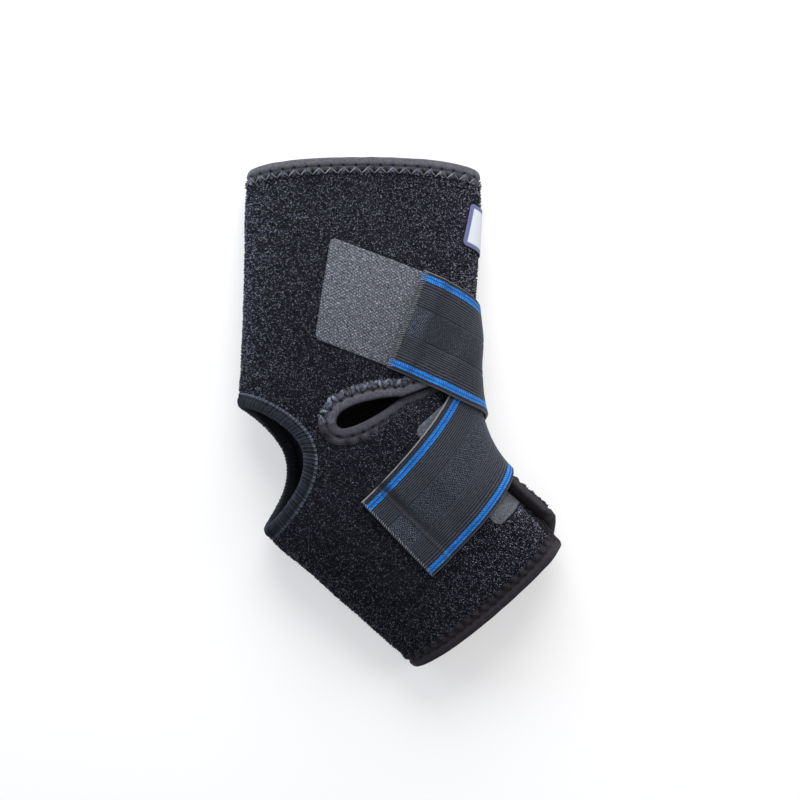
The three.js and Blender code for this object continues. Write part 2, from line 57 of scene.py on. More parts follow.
HEM, HEM_EXTRA, GAP = 12, 0.9, 0.35
TAB, TAB_REACH, TAB_SKEW, TAB_UNDER, TAB_CORNER = 0.8, 49, 11, 9, 3
INSTEP_TAB_WIDTH, INSTEP_TAB_REACH = 64, 27
LABEL_HEIGHT, LABEL_LENGTH, LABEL = 22, 30, 0.6
RAMP, FLAT, BEND_FROM, BEND_TO, FOLD_EASE = 9, 6, 48, 125, 0.5
HIGH, LOW = TAPE_GAP + TAPE, -(WALL + TAPE_GAP + TAPE)
STRIPS = {
    "strap_over": dict(x=-33, y=25.4, side=1, heading=-21, near=-8, bend=-60),
    "strap_under": dict(x=-37.2, y=-83.2, side=1, heading=43.5, near=8, bend=30),
    "instep_tab": dict(x=-8, y=-53.8, side=1, heading=41, near=0, bend=0),
    "label_patch": dict(x=-2.5, y=73.3, side=1, heading=-12, near=0, bend=0),
}
SECTIONS = [
    ("leg", 1.0, -0.936, 1.0, 0.017, 0.8, 0.8, 0.2),
    ("leg", 0.833, -0.962, 0.829, 0.038, 0.83, 0.85, 0.27),
    ("leg", 0.576, -0.966, 0.6, 0.03, 0.92, 0.95, 0.5),
    ("leg", 0.29, -0.97, 0.362, 0.017, 1, 1, 0.82),
    ("leg", 0.029, -0.979, 0.181, 0.009, 1, 1, 1),
    ("leg", -0.138, -0.983, 0.09, 0.004, 1, 1, 1),
    ("leg", -0.4, -0.944, 0, 0, 0.98, 1, 1),
    ("foot", -0.227, -1.253, 0.125, -0.096, 0.98, 1, 1),
    ("foot", -0.045, -1.338, 0.274, -0.171, 0.97, 1, 0.92),
    ("foot", 0.208, -1.309, 0.425, -0.207, 0.93, 1, 0.75),
    ("foot", 0.476, -1.28, 0.592, -0.2, 0.87, 0.95, 0.58),
    ("foot", 0.754, -1.247, 0.754, -0.183, 0.8, 0.9, 0.38),
    ("foot", 0.905, -1.228, 0.892, -0.19, 0.76, 0.86, 0.22),
    ("foot", 0.995, -1.227, 0.985, -0.175, 0.72, 0.83, 0.2),
]
LAST_STATION = len(SECTIONS) - 2
STRAP_LAYER = 2 * (GAP + STRAP) + TAPE_GAP + TAPE + GAP
# Offset from the sleeve's own frame, with the ankle crease at its origin, to the part's frame.
SHIFT = np.array([35.64469, 20.81093, 0.19330])
# Height over the floor under which the cloth is pressed flat, in millimetres.
REST_ZONE = 0.4
MM_PER_METRE = 1000
WEAVE_SPAN = 200  # millimetres to one unit of the weave's UV map
ROWS = 76  # rows of the cloth's grid, from opening to opening
NEAR_STEP, FAR_STEP, CUFF_PARTED = 0.585, 1.0, 2.6  # between tufts, and where their pieces part
LOOP_STEP = 0.55  # along the bound edges
SHEET_STEP = 1.5  # along and across the strips
BATCH = 1500  # points measured at once
THREAD_SIDES = 6
COVER_REACH = 1.05  # no pile grows this near to a strip or a tape
CREASE_SHARE = 0.6
HOOK_WIDTH = STRAP_WIDTH - 1
INSTEP_CORNER, LABEL_CORNER = 4, 2.0
HEEL_BAND = 5.1
BLACK = (0.002, 0.002, 0.003, 1)


def ease(x):
    x = np.clip(x, 0, 1)
    return x * x * (3 - 2 * x)


def unit(v):
    return v / np.maximum(np.linalg.norm(v, axis=-1, keepdims=True), 1e-12)


def dot(a, b):
    return (a * b).sum(-1)


# The sleeve's outer skin, for arrays of stations and turns.
def station_table():
    rows = []
    bend = math.radians(ANKLE_BEND)
    for kind, ba, bc, fa, fc, dome, fold, lift in SECTIONS:
        if kind == "leg":
            along = np.array([0, LEG_LENGTH])
            across = np.array([LEG_WIDTH, 0])
        else:
            along = FOOT_LENGTH * np.array([math.sin(bend), -math.cos(bend)])
            across = FOOT_WIDTH * np.array([math.cos(bend), math.sin(bend)])
        back = along * ba + across * bc
        front = along * fa + across * fc
        rows.append([*back, *front, dome * DOME_HEIGHT, fold * FOLD_HEIGHT, lift * STRAP_LAYER])
    return np.array(rows)


STATIONS = station_table()


def track(x):
    n = len(STATIONS)
    i = np.clip(np.floor(x).astype(int), 0, n - 2)
    f = (x - i)[..., None]
    a, b, c, d = (STATIONS[np.clip(i + k, 0, n - 1)] for k in (-1, 0, 1, 2))
    return b + f * (c - a + f * (2 * a - 5 * b + 4 * c - d + f * (3 * (b - c) + d - a))) / 2


def skin(u, t):
    u, t = np.broadcast_arrays(np.asarray(u, float), np.asarray(t, float))
    s = track(u)
    c = np.cos(np.pi * t)
    w = (1 - c) / 2
    upper = np.sin(np.pi * t) >= 0
    bulge = np.sqrt(np.maximum(0, 1 - np.abs(c) ** np.where(upper, DOME_FULLNESS, FLOOR_FULLNESS)))
    x = s[..., 0] + (s[..., 2] - s[..., 0]) * w
    y = s[..., 1] + (s[..., 3] - s[..., 1]) * w
    z = s[..., 6] + s[..., 5] + bulge * np.where(upper, s[..., 4], -s[..., 5])
    return np.stack([x, y, z], -1)


TINY = 1e-3


def slopes(u, t):
    along = (skin(u + TINY, t) - skin(u - TINY, t)) / (2 * TINY)
    round_ = (skin(u, t + TINY) - skin(u, t - TINY)) / (2 * TINY)
    return along, round_


def outward(u, t):
    return unit(np.cross(*slopes(u, t)))


def per_station(u, t):
    return np.linalg.norm(slopes(np.asarray(u, float), np.asarray(t, float))[0], axis=-1)


def per_turn(u, t):
    return np.linalg.norm(slopes(np.asarray(u, float), np.asarray(t, float))[1], axis=-1)


def flatten(n, direction):
    return unit(direction - n * dot(direction, n)[..., None])


def stride(u, t, heading, distance):
    def move(u, t, direction):
        a, r = slopes(u, t)
        direction = flatten(unit(np.cross(a, r)), direction)
        aa, ar, rr = dot(a, a), dot(a, r), dot(r, r)
        ad, rd = dot(a, direction), dot(r, direction)
        det = aa * rr - ar * ar
        return (ad * rr - rd * ar) / det, (rd * aa - ad * ar) / det

    du, dt = move(u, t, heading)
    du, dt = move(u + du * distance / 2, t + dt * distance / 2, heading)
    u, t = u + du * distance, t + dt * distance
    return u, t, flatten(outward(u, t), heading)


def walk(u, t, heading, distance, longest=2.0):
    count = max(1, math.ceil(np.abs(distance).max() / longest))
    for _ in range(count):
        u, t, heading = stride(u, t, heading, distance / count)
    return u, t


def locate(x, y, side):
    u, t = np.array([LAST_STATION / 2]), np.array([side / 2])
    for _ in range(30):
        p = skin(u, t)
        a, r = slopes(u, t)
        det = a[..., 0] * r[..., 1] - a[..., 1] * r[..., 0]
        dx, dy = x - p[..., 0], y - p[..., 1]
        u = u + np.clip((dx * r[..., 1] - dy * r[..., 0]) / det, -1, 1)
        t = t + np.clip((dy * a[..., 0] - dx * a[..., 1]) / det, -0.1, 0.1)
    return u, t


# Heel opening and slit.
turns60 = np.linspace(0, 1, 61)
ring60 = skin(np.full(61, float(SLIT_STATION)), turns60)
half_girth = np.linalg.norm(np.diff(ring60, axis=0), axis=1).sum()
heel_middle = HEEL_ROLL / half_girth
heel_reach = HEEL_GIRTH / 2 / half_girth
heel_half = HEEL_LENGTH / 2 / float(per_station(HEEL_STATION, 0))
tip_upper = heel_middle + heel_reach + BRIDGE / half_girth
tip_lower = heel_middle - heel_reach - BRIDGE / half_girth
eye_turn = EYE_LENGTH / half_girth


def heel_height(t):
    return heel_half * np.sqrt(np.maximum(0, 1 - ((t - heel_middle) / heel_reach) ** 2))


def lip_height(t, side):
    d = np.where(t > 0, t - tip_upper, tip_lower - t) * half_girth
    inside = np.clip(d / EYE_LENGTH, 0, 1)
    gape = np.where(d < EYE_LENGTH, np.abs(np.sin(np.pi * inside**0.6)) ** 0.8, 0)
    wide = np.where(t > 0, (EYE_WIDTH - SLIT_GAP) * gape, 0)
    half = (SLIT_GAP * np.sqrt(np.clip(d / SLIT_GAP, 0, 1)) + wide) / 2
    return np.where(d > 0, half / per_station(SLIT_STATION + side * 0.2, t), 0)


def seam(t):
    off = np.abs(t - heel_middle) - heel_reach
    return HEEL_STATION + (SLIT_STATION - HEEL_STATION) * ease(off / (BRIDGE / half_girth))


def wrap_turn(t):
    return np.where(t > 1, t - 2, np.where(t < -1, t + 2, t))


def edge_of_cuff(t):
    t = wrap_turn(t)
    return seam(t) - heel_height(t) - lip_height(t, -1)


def hollow(t):
    return 1 - np.abs(np.sin(np.pi * t)) ** 1.3


def top_of_cuff(t):
    return LEG_ARCH * hollow(t) / float(per_station(0.5, 0.5))


LAP_TURN = LAP_EDGE - 2
SINK = WALL + 2 * (TAPE + TAPE_GAP) + 2 * GAP


def on_foot(t):
    return np.clip(t, -1, 1)


def corner_drop(t, u):
    u = np.broadcast_to(float(u), np.shape(t))
    d = np.minimum(WING_EDGE - t, t - LAP_TURN) * per_turn(u, on_foot(t))
    r = CORNER_RADIUS
    d = np.clip(d, 0, r)
    return (r - np.sqrt(r * r - (r - d) ** 2)) / per_station(u, t)


def top_of_foot(t):
    drop = corner_drop(t, SLIT_STATION + 0.5)
    return seam(on_foot(t)) + heel_height(t) + lip_height(on_foot(t), 1) + drop


def end_of_foot(t):
    slant = FOOT_SLANT * (1 - np.cos(np.pi * t)) / 2
    reach = FOOT_ARCH * (1 - hollow(t)) + slant - LAP_SHORT * ease((-0.6 - t) / 0.45)
    last = np.full(np.shape(t), float(LAST_STATION))
    return LAST_STATION + reach / per_station(last, t) - corner_drop(t, LAST_STATION)


def cuff_layer(u, t):
    return np.zeros(np.broadcast(u, t).shape)


def foot_layer(u, t):
    near = per_station(np.full(np.shape(t), SLIT_STATION + 0.5), t)
    away = (u - SLIT_STATION) * near / TUCK_REACH
    tuck = LIP_TUCK * ease((t - tip_upper) / eye_turn) * ease(1 - away)
    sink = np.maximum(tuck, SINK * ease((t - SINK_FROM) / (LAP_EDGE - 0.01 - SINK_FROM)))
    return -np.where(t < 0, 0, sink)


def cloth_layer(u, t):
    return np.where((u > SLIT_STATION) & (t > 0) & (t < 1), foot_layer(u, t), 0)


def lifted(u, t, height):
    return skin(u, t) + outward(u, t) * height[..., None]


# Smooth random relief, repeatable, for points in millimetres.
def noise(p, cell, seed):
    q = np.asarray(p) / cell + seed * 17.31
    base = np.floor(q).astype(np.int64)
    f = q - base
    f = f * f * (3 - 2 * f)
    total = np.zeros(q.shape[:-1])
    for corner in range(8):
        step = np.array([corner & 1, corner >> 1 & 1, corner >> 2 & 1])
        k = base + step
        h = (k[..., 0] * 73856093) ^ (k[..., 1] * 19349663) ^ (k[..., 2] * 83492791)
        h = h ^ (seed * 2654435761)
        h = (h ^ (h >> 13)) * 1274126177 & 0xFFFFFFFF
        h = (h ^ (h >> 16)) & 0xFFFF
        weight = np.where(step == 1, f, 1 - f).prod(-1)
        total += weight * (h / 32767.5 - 1)
    return total


# Meshes.
def settle(points):
    """Cloth and thread that touch the floor lie flat on it: no point is left below it."""
    low = points[:, 2] < REST_ZONE
    points[low, 2] = REST_ZONE * np.exp((points[low, 2] - REST_ZONE) / REST_ZONE)
    return points


def make(name, points, faces, materials, replaces=None, tone=None, tint=None, uv=None, kinds=None):
    mesh = bpy.data.meshes.new(name)
    points = np.asarray(points, float).reshape(-1, 3)
    faces = np.asarray(faces, np.int32)
    count, corners = faces.shape
    mesh.vertices.add(len(points))
    mesh.vertices.foreach_set("co", (settle(points + SHIFT) / MM_PER_METRE).astype(np.float32).ravel())
    mesh.loops.add(count * corners)
    mesh.loops.foreach_set("vertex_index", faces.ravel())
    mesh.polygons.add(count)
    mesh.polygons.foreach_set("loop_start", np.arange(0, count * corners, corners, dtype=np.int32))
    mesh.update(calc_edges=True)
    for key, values in (("tone", tone), ("tint", tint)):
        if values is not None:
            layer = mesh.attributes.new(key, "FLOAT", "POINT")
            layer.data.foreach_set("value", np.asarray(values, np.float32).ravel())
    if uv is not None:
        layer = mesh.uv_layers.new(name="weave")
        flat = np.asarray(uv, np.float32).reshape(-1, 2)[faces.ravel()]
        layer.data.foreach_set("uv", flat.ravel())
    for material in materials:
        mesh.materials.append(material)
    if kinds is not None:
        mesh.polygons.foreach_set("material_index", np.asarray(kinds, np.int32))
    mesh.polygons.foreach_set("use_smooth", np.full(count, True))
    mesh.update()
    piece = bpy.data.objects.new(name, mesh)
    bpy.context.scene.collection.objects.link(piece)
    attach(piece, "root")
    if replaces:
        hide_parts(replaces)
    return piece


def grid_faces(rows, columns, closed=False):
    last = columns if closed else columns - 1
    r, k = np.meshgrid(np.arange(rows - 1), np.arange(last), indexing="ij")
    j = (k + 1) % columns
    quads = np.stack([r * columns + k, r * columns + j, (r + 1) * columns + j, (r + 1) * columns + k], -1)
    return quads.reshape(-1, 4)


def tubes(paths, normals, radius, sides=THREAD_SIDES, taper=True):
    """Threads: paths and normals are (threads, points, 3) in millimetres."""
    m, n, _ = paths.shape
    tangent = unit(np.gradient(paths, axis=1))
    side = unit(np.cross(tangent, normals))
    up = np.cross(side, tangent)
    r = np.broadcast_to(np.asarray(radius, float), (m, n)).copy()
    if taper:
        r[:, 0] *= 0.3
        r[:, -1] *= 0.3
    angle = np.arange(sides) * 2 * np.pi / sides
    ring = up[:, :, None] * np.cos(angle)[:, None] + side[:, :, None] * np.sin(angle)[:, None]
    points = paths[:, :, None] + ring * r[:, :, None, None]
    one = grid_faces(n, sides, True)
    faces = (one[None] + (np.arange(m) * n * sides)[:, None, None]).reshape(-1, 4)
    return points.reshape(-1, 3), faces


class Value:
    """The output of a node, which takes part in sums as a number does."""

    def __init__(self, graph, socket):
        self.graph, self.socket = graph, socket

    def __add__(self, other):
        return self.graph.math("ADD", self, other)

    def __sub__(self, other):
        return self.graph.math("SUBTRACT", self, other)

    def __rsub__(self, other):
        return self.graph.math("SUBTRACT", other, self)

    def __mul__(self, other):
        return self.graph.math("MULTIPLY", self, other)

    def __truediv__(self, other):
        return self.graph.math("DIVIDE", self, other)

    def __abs__(self):
        return self.graph.math("ABSOLUTE", self)


class Graph:
    """One material, and short hand for its nodes."""

    def __init__(self, name, rough, sheen=0.0, specular=0.3):
        self.material = bpy.data.materials.new(name)
        self.material.use_nodes = True
        self.nodes = self.material.node_tree.nodes
        self.links = self.material.node_tree.links
        self.bsdf = self.nodes["Principled BSDF"]
        self.set(self.bsdf, {"Roughness": rough, "Specular IOR Level": specular, "Sheen Weight": sheen,
                             "Sheen Roughness": 0.5, "Sheen Tint": (0.8, 0.86, 1, 1)})

    def set(self, node, values):
        for key, value in values.items():
            if isinstance(value, Value):
                self.links.new(value.socket, node.inputs[key])
            else:
                node.inputs[key].default_value = value

    def node(self, kind, values, output=0, **settings):
        node = self.nodes.new("ShaderNode" + kind)
        for key, value in settings.items():
            setattr(node, key, value)
        self.set(node, values)
        return Value(self, node.outputs[output])

    def math(self, operation, a, b=0.0):
        return self.node("Math", {0: a, 1: b}, operation=operation)

    def mix(self, share, a, b):
        return self.node("Mix", {"Factor": share, 6: a, 7: b}, 2, data_type="RGBA")

    def ramp(self, value, *stops):
        result = self.node("ValToRGB", {0: value})
        ramp = result.socket.node.color_ramp
        while len(ramp.elements) < len(stops):
            ramp.elements.new(0.5)
        for element, (place, colour) in zip(ramp.elements, stops):
            element.position = place
            element.color = (*colour, 1)
        return result

    def noise(self, scale, detail, rough=0.5):
        place = self.node("TexCoord", {}, "Object")
        return self.node("TexNoise", {"Scale": scale, "Detail": detail, "Roughness": rough, "Vector": place}, "Fac")

    def mapped(self, value, low, high):
        """The value's place between two limits, from 0 to 1."""
        return self.node("MapRange", {"Value": value, "From Min": low, "From Max": high})

    def wave(self, operation, value, length):
        return self.mapped(self.math(operation, value * (2 * math.pi / length)), -1, 1)

    def uv(self):
        """Along and across the weave, in millimetres."""
        place = self.node("UVMap", {}, uv_map="weave")
        return [self.node("SeparateXYZ", {0: place}, axis) * WEAVE_SPAN for axis in (0, 1)]

    def tone(self, key="tone"):
        return self.node("Attribute", {}, "Fac", attribute_name=key)

    def finish(self, colour, height=None, strength=0.0, distance=0.0):
        """Sets the colour, and a bump with its distance in metres, and gives the material."""
        self.set(self.bsdf, {"Base Color": colour})
        if height is not None:
            bump = self.node("Bump", {"Strength": strength, "Distance": distance, "Height": height})
            self.set(self.bsdf, {"Normal": bump})
        return self.material


# Materials.
def pile_material():
    g = Graph("pile", 0.95, 0.03, 0.12)
    value = g.tone() + (g.noise(45, 3) - 0.5) * 0.12
    cool = g.ramp(value, (0.0, (0.0015, 0.0015, 0.002)), (0.5, (0.015, 0.0165, 0.024)), (1.0, (0.180, 0.198, 0.262)))
    warm = g.ramp(value, (0.0, (0.0015, 0.0015, 0.0015)), (0.5, (0.020, 0.016, 0.022)), (1.0, (0.215, 0.185, 0.222)))
    return g.finish(g.mix(g.tone("tint"), cool, warm))


def grained_material(name, rough, scale, detail, dark, light, strength, distance):
    g = Graph(name, rough, 0.0, 0.1)
    grain = g.noise(scale, detail)
    return g.finish(g.ramp(grain, (0.3, dark), (0.7, light)), grain, strength, distance)


def tape_material(name, dark, light, pitch, sheen=0.1, deep=BLACK):
    """Knitted tape: fine slanted ribs and two rows of needle holes, one set half a stitch on. Its tone is painted
    shade, which turns the colour towards deep, and the needle holes are darkened as painted shade.
    """
    g = Graph(name, 0.8, sheen, 0.2)
    along, across = g.uv()
    depth = g.tone("tint")
    value = g.wave("SINE", along * pitch + across, 1.0) * 0.4 + g.noise(900, 3) * 0.6
    shade = g.tone()
    for row, offset, strength in ((3.2, 0.5, 0.96), (6.0, 0.0, 0.9)):
        off = (g.math("FRACT", along + offset) - 0.5) * pitch
        down = depth - row
        hole = g.mapped(off * off + down * down, 1.0, 0.35)
        shade = shade * (1.0 - hole * strength)
    return g.finish(g.mix(shade, deep, g.ramp(value, (0.25, dark), (0.8, light))), value, 0.6, 0.0003)


def thread_material(name, dark, light):
    g = Graph(name, 0.85, 0.05, 0.15)
    return g.finish(g.ramp(g.tone() + (g.noise(1500, 2) - 0.5) * 0.4, (0.0, dark), (1.0, light)))


RIB = 1.08
MIDDLE_BAND = 7.2
LINES_IN, LINES_APART = 4.6, 0.95


def webbing_material():
    """Elastic webbing: ribs, a knotted band in the middle and two blue lines at each edge."""
    g = Graph("webbing", 0.8, 0.08, 0.15)
    along, across = g.uv()
    from_edge = STRAP_WIDTH / 2 - abs(across)
    value = g.wave("COSINE", across, RIB) * 0.34 + g.noise(1100, 3) * 0.56 + g.wave("SINE", along, 0.8) * 0.10
    base = g.ramp(value, (0.33, (0.001, 0.0015, 0.003)), (0.68, (0.042, 0.048, 0.066)))
    slant = abs(g.math("FRACT", across / 2.4) - 0.5) * 2.4
    knots = g.wave("SINE", along + slant, 1.1) * 0.30 + g.noise(1200, 3, 0.7) * 0.70
    middle = g.ramp(knots, (0.38, (0.001, 0.002, 0.004)), (0.52, (0.009, 0.012, 0.019)), (0.66, (0.074, 0.086, 0.118)))
    inside = g.mapped(abs(across), MIDDLE_BAND + 0.3, MIDDLE_BAND - 0.3)
    # tint darkens the webbing: the middle band's own darker colour, and the painted shade that makes strap_over darker
    # than strap_under.
    colour = g.mix(g.tone("tint"), BLACK, g.mix(inside, base, middle))
    colour = g.mix(g.mapped(from_edge, 3.3, 2.9) * 0.5, colour, (0.004, 0.004, 0.006, 1))
    from_lines = abs(from_edge - LINES_IN)
    colour = g.mix(g.mapped(from_lines, 0.7, 0.5), colour, (0.003, 0.035, 0.17, 1))
    twist = g.wave("SINE", along + across * 0.8, 1.1) * 0.3 + g.noise(1200, 3) * 0.7
    blue = g.ramp(twist, (0.25, (0.001, 0.035, 0.18)), (0.5, (0.002, 0.115, 0.42)), (0.85, (0.040, 0.32, 0.75)))
    colour = g.mix(g.mapped(abs(from_lines - LINES_APART), 0.80, 0.58), colour, blue)
    # A thin light line at each edge: partly the selvage's lighter threads, partly a painted highlight.
    selvage_and_highlight = g.mapped(from_edge + g.noise(260, 2) * 0.5, 0.80, 0.6)
    colour = g.mix(selvage_and_highlight, colour, (0.150, 0.146, 0.138, 1))
    # tone is the painted shade at the strap's ends, from hem_tone.
    return g.finish(g.mix(g.tone(), BLACK, colour), g.mix(inside, value, knots), 0.6, 0.0003)


def hook_material():
    """Hook tape: rows of short dashes; a fine piece (tone 0) has them small and faint."""
    g = Graph("hook_tape", 0.7, 0.03, 0.15)
    along, across = g.uv()
    wobble = (g.noise(520, 2) - 0.5) * 2.6
    row = (across + along * 0.35 + wobble) / 1.3
    column = (along + (across * -0.25 + wobble)) / 1.5
    column = column + g.math("FLOORED_MODULO", g.math("FLOOR", row), 2.0) * 0.5
    a, b = (abs(g.math("FRACT", value) - 0.5) for value in (row, column))
    coarse = g.mapped(a * 1.25 + b * 0.8, 0.55, 0.05) * 0.30 + g.noise(1000, 3) * 0.64
    faint = g.noise(1500, 3) * 0.8
    value = g.tone() * (coarse - faint) + faint
    colour = g.ramp(value, (0.2, (0.012, 0.013, 0.017)), (0.45, (0.060, 0.064, 0.078)), (0.8, (0.27, 0.285, 0.33)))
    return g.finish(colour, value, 0.8, 0.0004)


def label_material():
    """White cloth with a blue-grey border."""
    g = Graph("label", 0.55, 0.05)
    along, across = g.uv()
    edge = LABEL_HEIGHT / 2 - abs(across)
    end = g.math("MINIMUM", along, float(LABEL_LENGTH) - along)
    rim = g.mapped(g.math("MINIMUM", edge, end), 2.3, 1.9)
    weave = g.math("SINE", along * 12.0) * g.math("SINE", across * 12.0)
    shade = g.mapped(weave, -1, 1)
    white = g.ramp(shade, (0.0, (0.34, 0.365, 0.395)), (1.0, (0.42, 0.45, 0.485)))
    blue = g.ramp(shade, (0.0, (0.045, 0.054, 0.125)), (1.0, (0.070, 0.082, 0.180)))
    return g.finish(g.mix(rim, white, blue), weave, 0.3, 0.0001)


PILE = pile_material()
GROUND = grained_material("pile_ground", 0.95, 900, 3, (0.003, 0.003, 0.0045), (0.020, 0.022, 0.030), 0.6, 0.0004)
LINING = grained_material("lining", 0.9, 1400, 2, (0.004, 0.004, 0.006), (0.010, 0.010, 0.014), 0.4, 0.0002)
LEG_PITCH, FRONT_PITCH, HEEL_PITCH = 6.2, 5.2, 1.0
LEG_TAPE = tape_material("leg_tape", (0.009, 0.009, 0.012), (0.096, 0.096, 0.114), LEG_PITCH)
# deep, a purple black, is the colour that the front tape's painted shade goes to.
FRONT_TAPE = tape_material("front_tape", (0.011, 0.008, 0.011), (0.100, 0.106, 0.136), FRONT_PITCH,
                           0.03, (0.0055, 0.0032, 0.0050, 1))
HEEL_TAPE = tape_material("heel_tape", (0.003, 0.004, 0.006), (0.014, 0.017, 0.024), HEEL_PITCH)
HEEL_THREAD = thread_material("heel_thread", (0.001, 0.0015, 0.003), (0.075, 0.088, 0.124))
SEAM_THREAD = thread_material("seam_thread", (0.008, 0.008, 0.011), (0.200, 0.205, 0.240))
HEM_THREAD = thread_material("hem_thread", (0.050, 0.053, 0.053), (0.200, 0.210, 0.215))
WEBBING = webbing_material()
HOOK = hook_material()
LABEL_CLOTH = label_material()


# Sleeve.
def columns(turns, first, last, layer, count):
    share = np.linspace(0, 1, count)
    t = np.broadcast_to(turns[:, None], (len(turns), count))
    u = first[:, None] + (last - first)[:, None] * share[None]
    return u, t, layer(u, t)


def creases(points):
    """Slow unevenness of the soft cloth, in millimetres."""
    return 0.35 * noise(points, 22, 1) + 0.18 * noise(points, 7, 2)


def lip_turns(tip, edge, count=110):
    return tip + (edge - tip) * np.linspace(0, 1, count) ** 1.35


def fine(a, b, step=1.0):
    count = max(3, int(abs(b - a) * half_girth / step))
    return np.linspace(a, b, count)


heel_a = np.linspace(-np.pi / 2, np.pi / 2, 90)
heel_turns = heel_middle + heel_reach * np.sin(heel_a - 0.15 * np.sin(2 * heel_a))
middle_turns = np.concatenate([
    fine(tip_lower, heel_turns[0], 0.9)[:-1],
    heel_turns,
    fine(heel_turns[-1], tip_upper, 0.9)[1:],
])
wing_inner = WING_EDGE - CORNER_RADIUS / float(per_turn(8, 1))
lap_inner = LAP_TURN + CORNER_RADIUS / float(per_turn(8, 1))
corner_steps = 1 - np.cos(np.radians(np.linspace(0, 90, 12)))
lap_corner = LAP_TURN + corner_steps * (lap_inner - LAP_TURN)
wing_corner = (WING_EDGE - corner_steps * (WING_EDGE - wing_inner))[::-1]
cuff_turns = np.concatenate([
    lip_turns(tip_lower, -1)[::-1][1:-1],
    middle_turns,
    lip_turns(tip_upper, 1)[1:],
])
foot_turns = np.concatenate([
    lap_corner[:-1],
    fine(lap_inner, -1, 1.0)[:-1],
    lip_turns(tip_lower, -1)[::-1][:-1],
    middle_turns,
    lip_turns(tip_upper, wing_inner)[1:-1],
    wing_corner,
])

CUFF = columns(cuff_turns, top_of_cuff(cuff_turns), edge_of_cuff(cuff_turns), cuff_layer, ROWS)
FOOT = columns(foot_turns, top_of_foot(foot_turns), end_of_foot(foot_turns), foot_layer, ROWS)


def wall_points(u, t, z, depth):
    base = skin(u, t)
    return base + outward(u, t) * (z + depth + creases(base) * CREASE_SHARE)[..., None]


def sleeve():
    """The cloth's outer side, and a lining with fewer points."""
    points, faces, kinds, start = [], [], [], 0
    for grids, closed in ((CUFF, True), (FOOT, False)):
        n, m = grids[0].shape
        fewer = np.ix_(np.unique(np.r_[0:n:2, n - 1]), np.unique(np.r_[0:m:3, m - 1]))
        for kind, depth, (u, t, z) in ((0, 0.0, grids), (1, -WALL, [grid[fewer] for grid in grids])):
            n, m = u.shape
            quads = grid_faces(n + 1, m)
            quads = quads % (n * m) if closed else quads[: (n - 1) * (m - 1)]
            points.append(wall_points(u, t, z, depth).reshape(-1, 3))
            faces.append((quads[:, ::-1] if kind else quads) + start)
            kinds.append(np.full(len(quads), kind))
            start += n * m
    points, faces, kinds = (np.concatenate(values) for values in (points, faces, kinds))
    piece = make("sleeve_cloth", points, faces, [GROUND, LINING], "sleeve", kinds=kinds)


# Loops along the bound edges: stations, turns and layer at even steps of the length.
def even(u, t, layer):
    spots = lifted(u, t, layer(u, t))
    run = np.r_[0, np.linalg.norm(np.diff(spots, axis=0), axis=1).cumsum()]
    count = max(2, round(run[-1] / LOOP_STEP))
    at = np.linspace(0, run[-1], count + 1)[:-1]
    u, t = np.interp(at, run, u), np.interp(at, run, t)
    return u, t, layer(u, t)


def loop_of(segments):
    return [np.concatenate(values) for values in zip(*(even(*segment) for segment in segments))]


leg_t = np.linspace(1, -1, 400)
leg_loop = loop_of([(top_of_cuff(leg_t), leg_t, cuff_layer)])
heel_loop = loop_of([
    (HEEL_STATION - heel_height(heel_turns), heel_turns, cuff_layer),
    (HEEL_STATION + heel_height(heel_turns[::-1]), heel_turns[::-1], foot_layer),
])
upper_t = lip_turns(tip_upper, 1, 160)
lower_t = lip_turns(tip_lower, -1, 160)
foot_low_t = np.concatenate([lower_t, fine(-1, lap_inner, 1.0)[1:-1], lap_corner[::-1]])
foot_end_t = np.concatenate([lap_corner, np.linspace(lap_inner, wing_inner, 420)[1:-1], wing_corner])
foot_up_t = np.concatenate([wing_corner[::-1], lip_turns(tip_upper, wing_inner, 160)[::-1][1:]])
side = np.linspace(0, 1, 80)


def edge_column(t):
    a, b = top_of_foot(np.array([t])), end_of_foot(np.array([t]))
    return a + (b - a) * side, np.full(80, t)


lap_u, lap_t = edge_column(LAP_TURN)
wing_u, wing_t = edge_column(WING_EDGE)
front_loop = loop_of([
    (edge_of_cuff(upper_t), upper_t, cuff_layer),
    (edge_of_cuff(lower_t[::-1]), lower_t[::-1], cuff_layer),
    (top_of_foot(foot_low_t), foot_low_t, foot_layer),
    (lap_u, lap_t, foot_layer),
    (end_of_foot(foot_end_t), foot_end_t, foot_layer),
    (wing_u[::-1], wing_t, foot_layer),
    (top_of_foot(foot_up_t), foot_up_t, foot_layer),
])


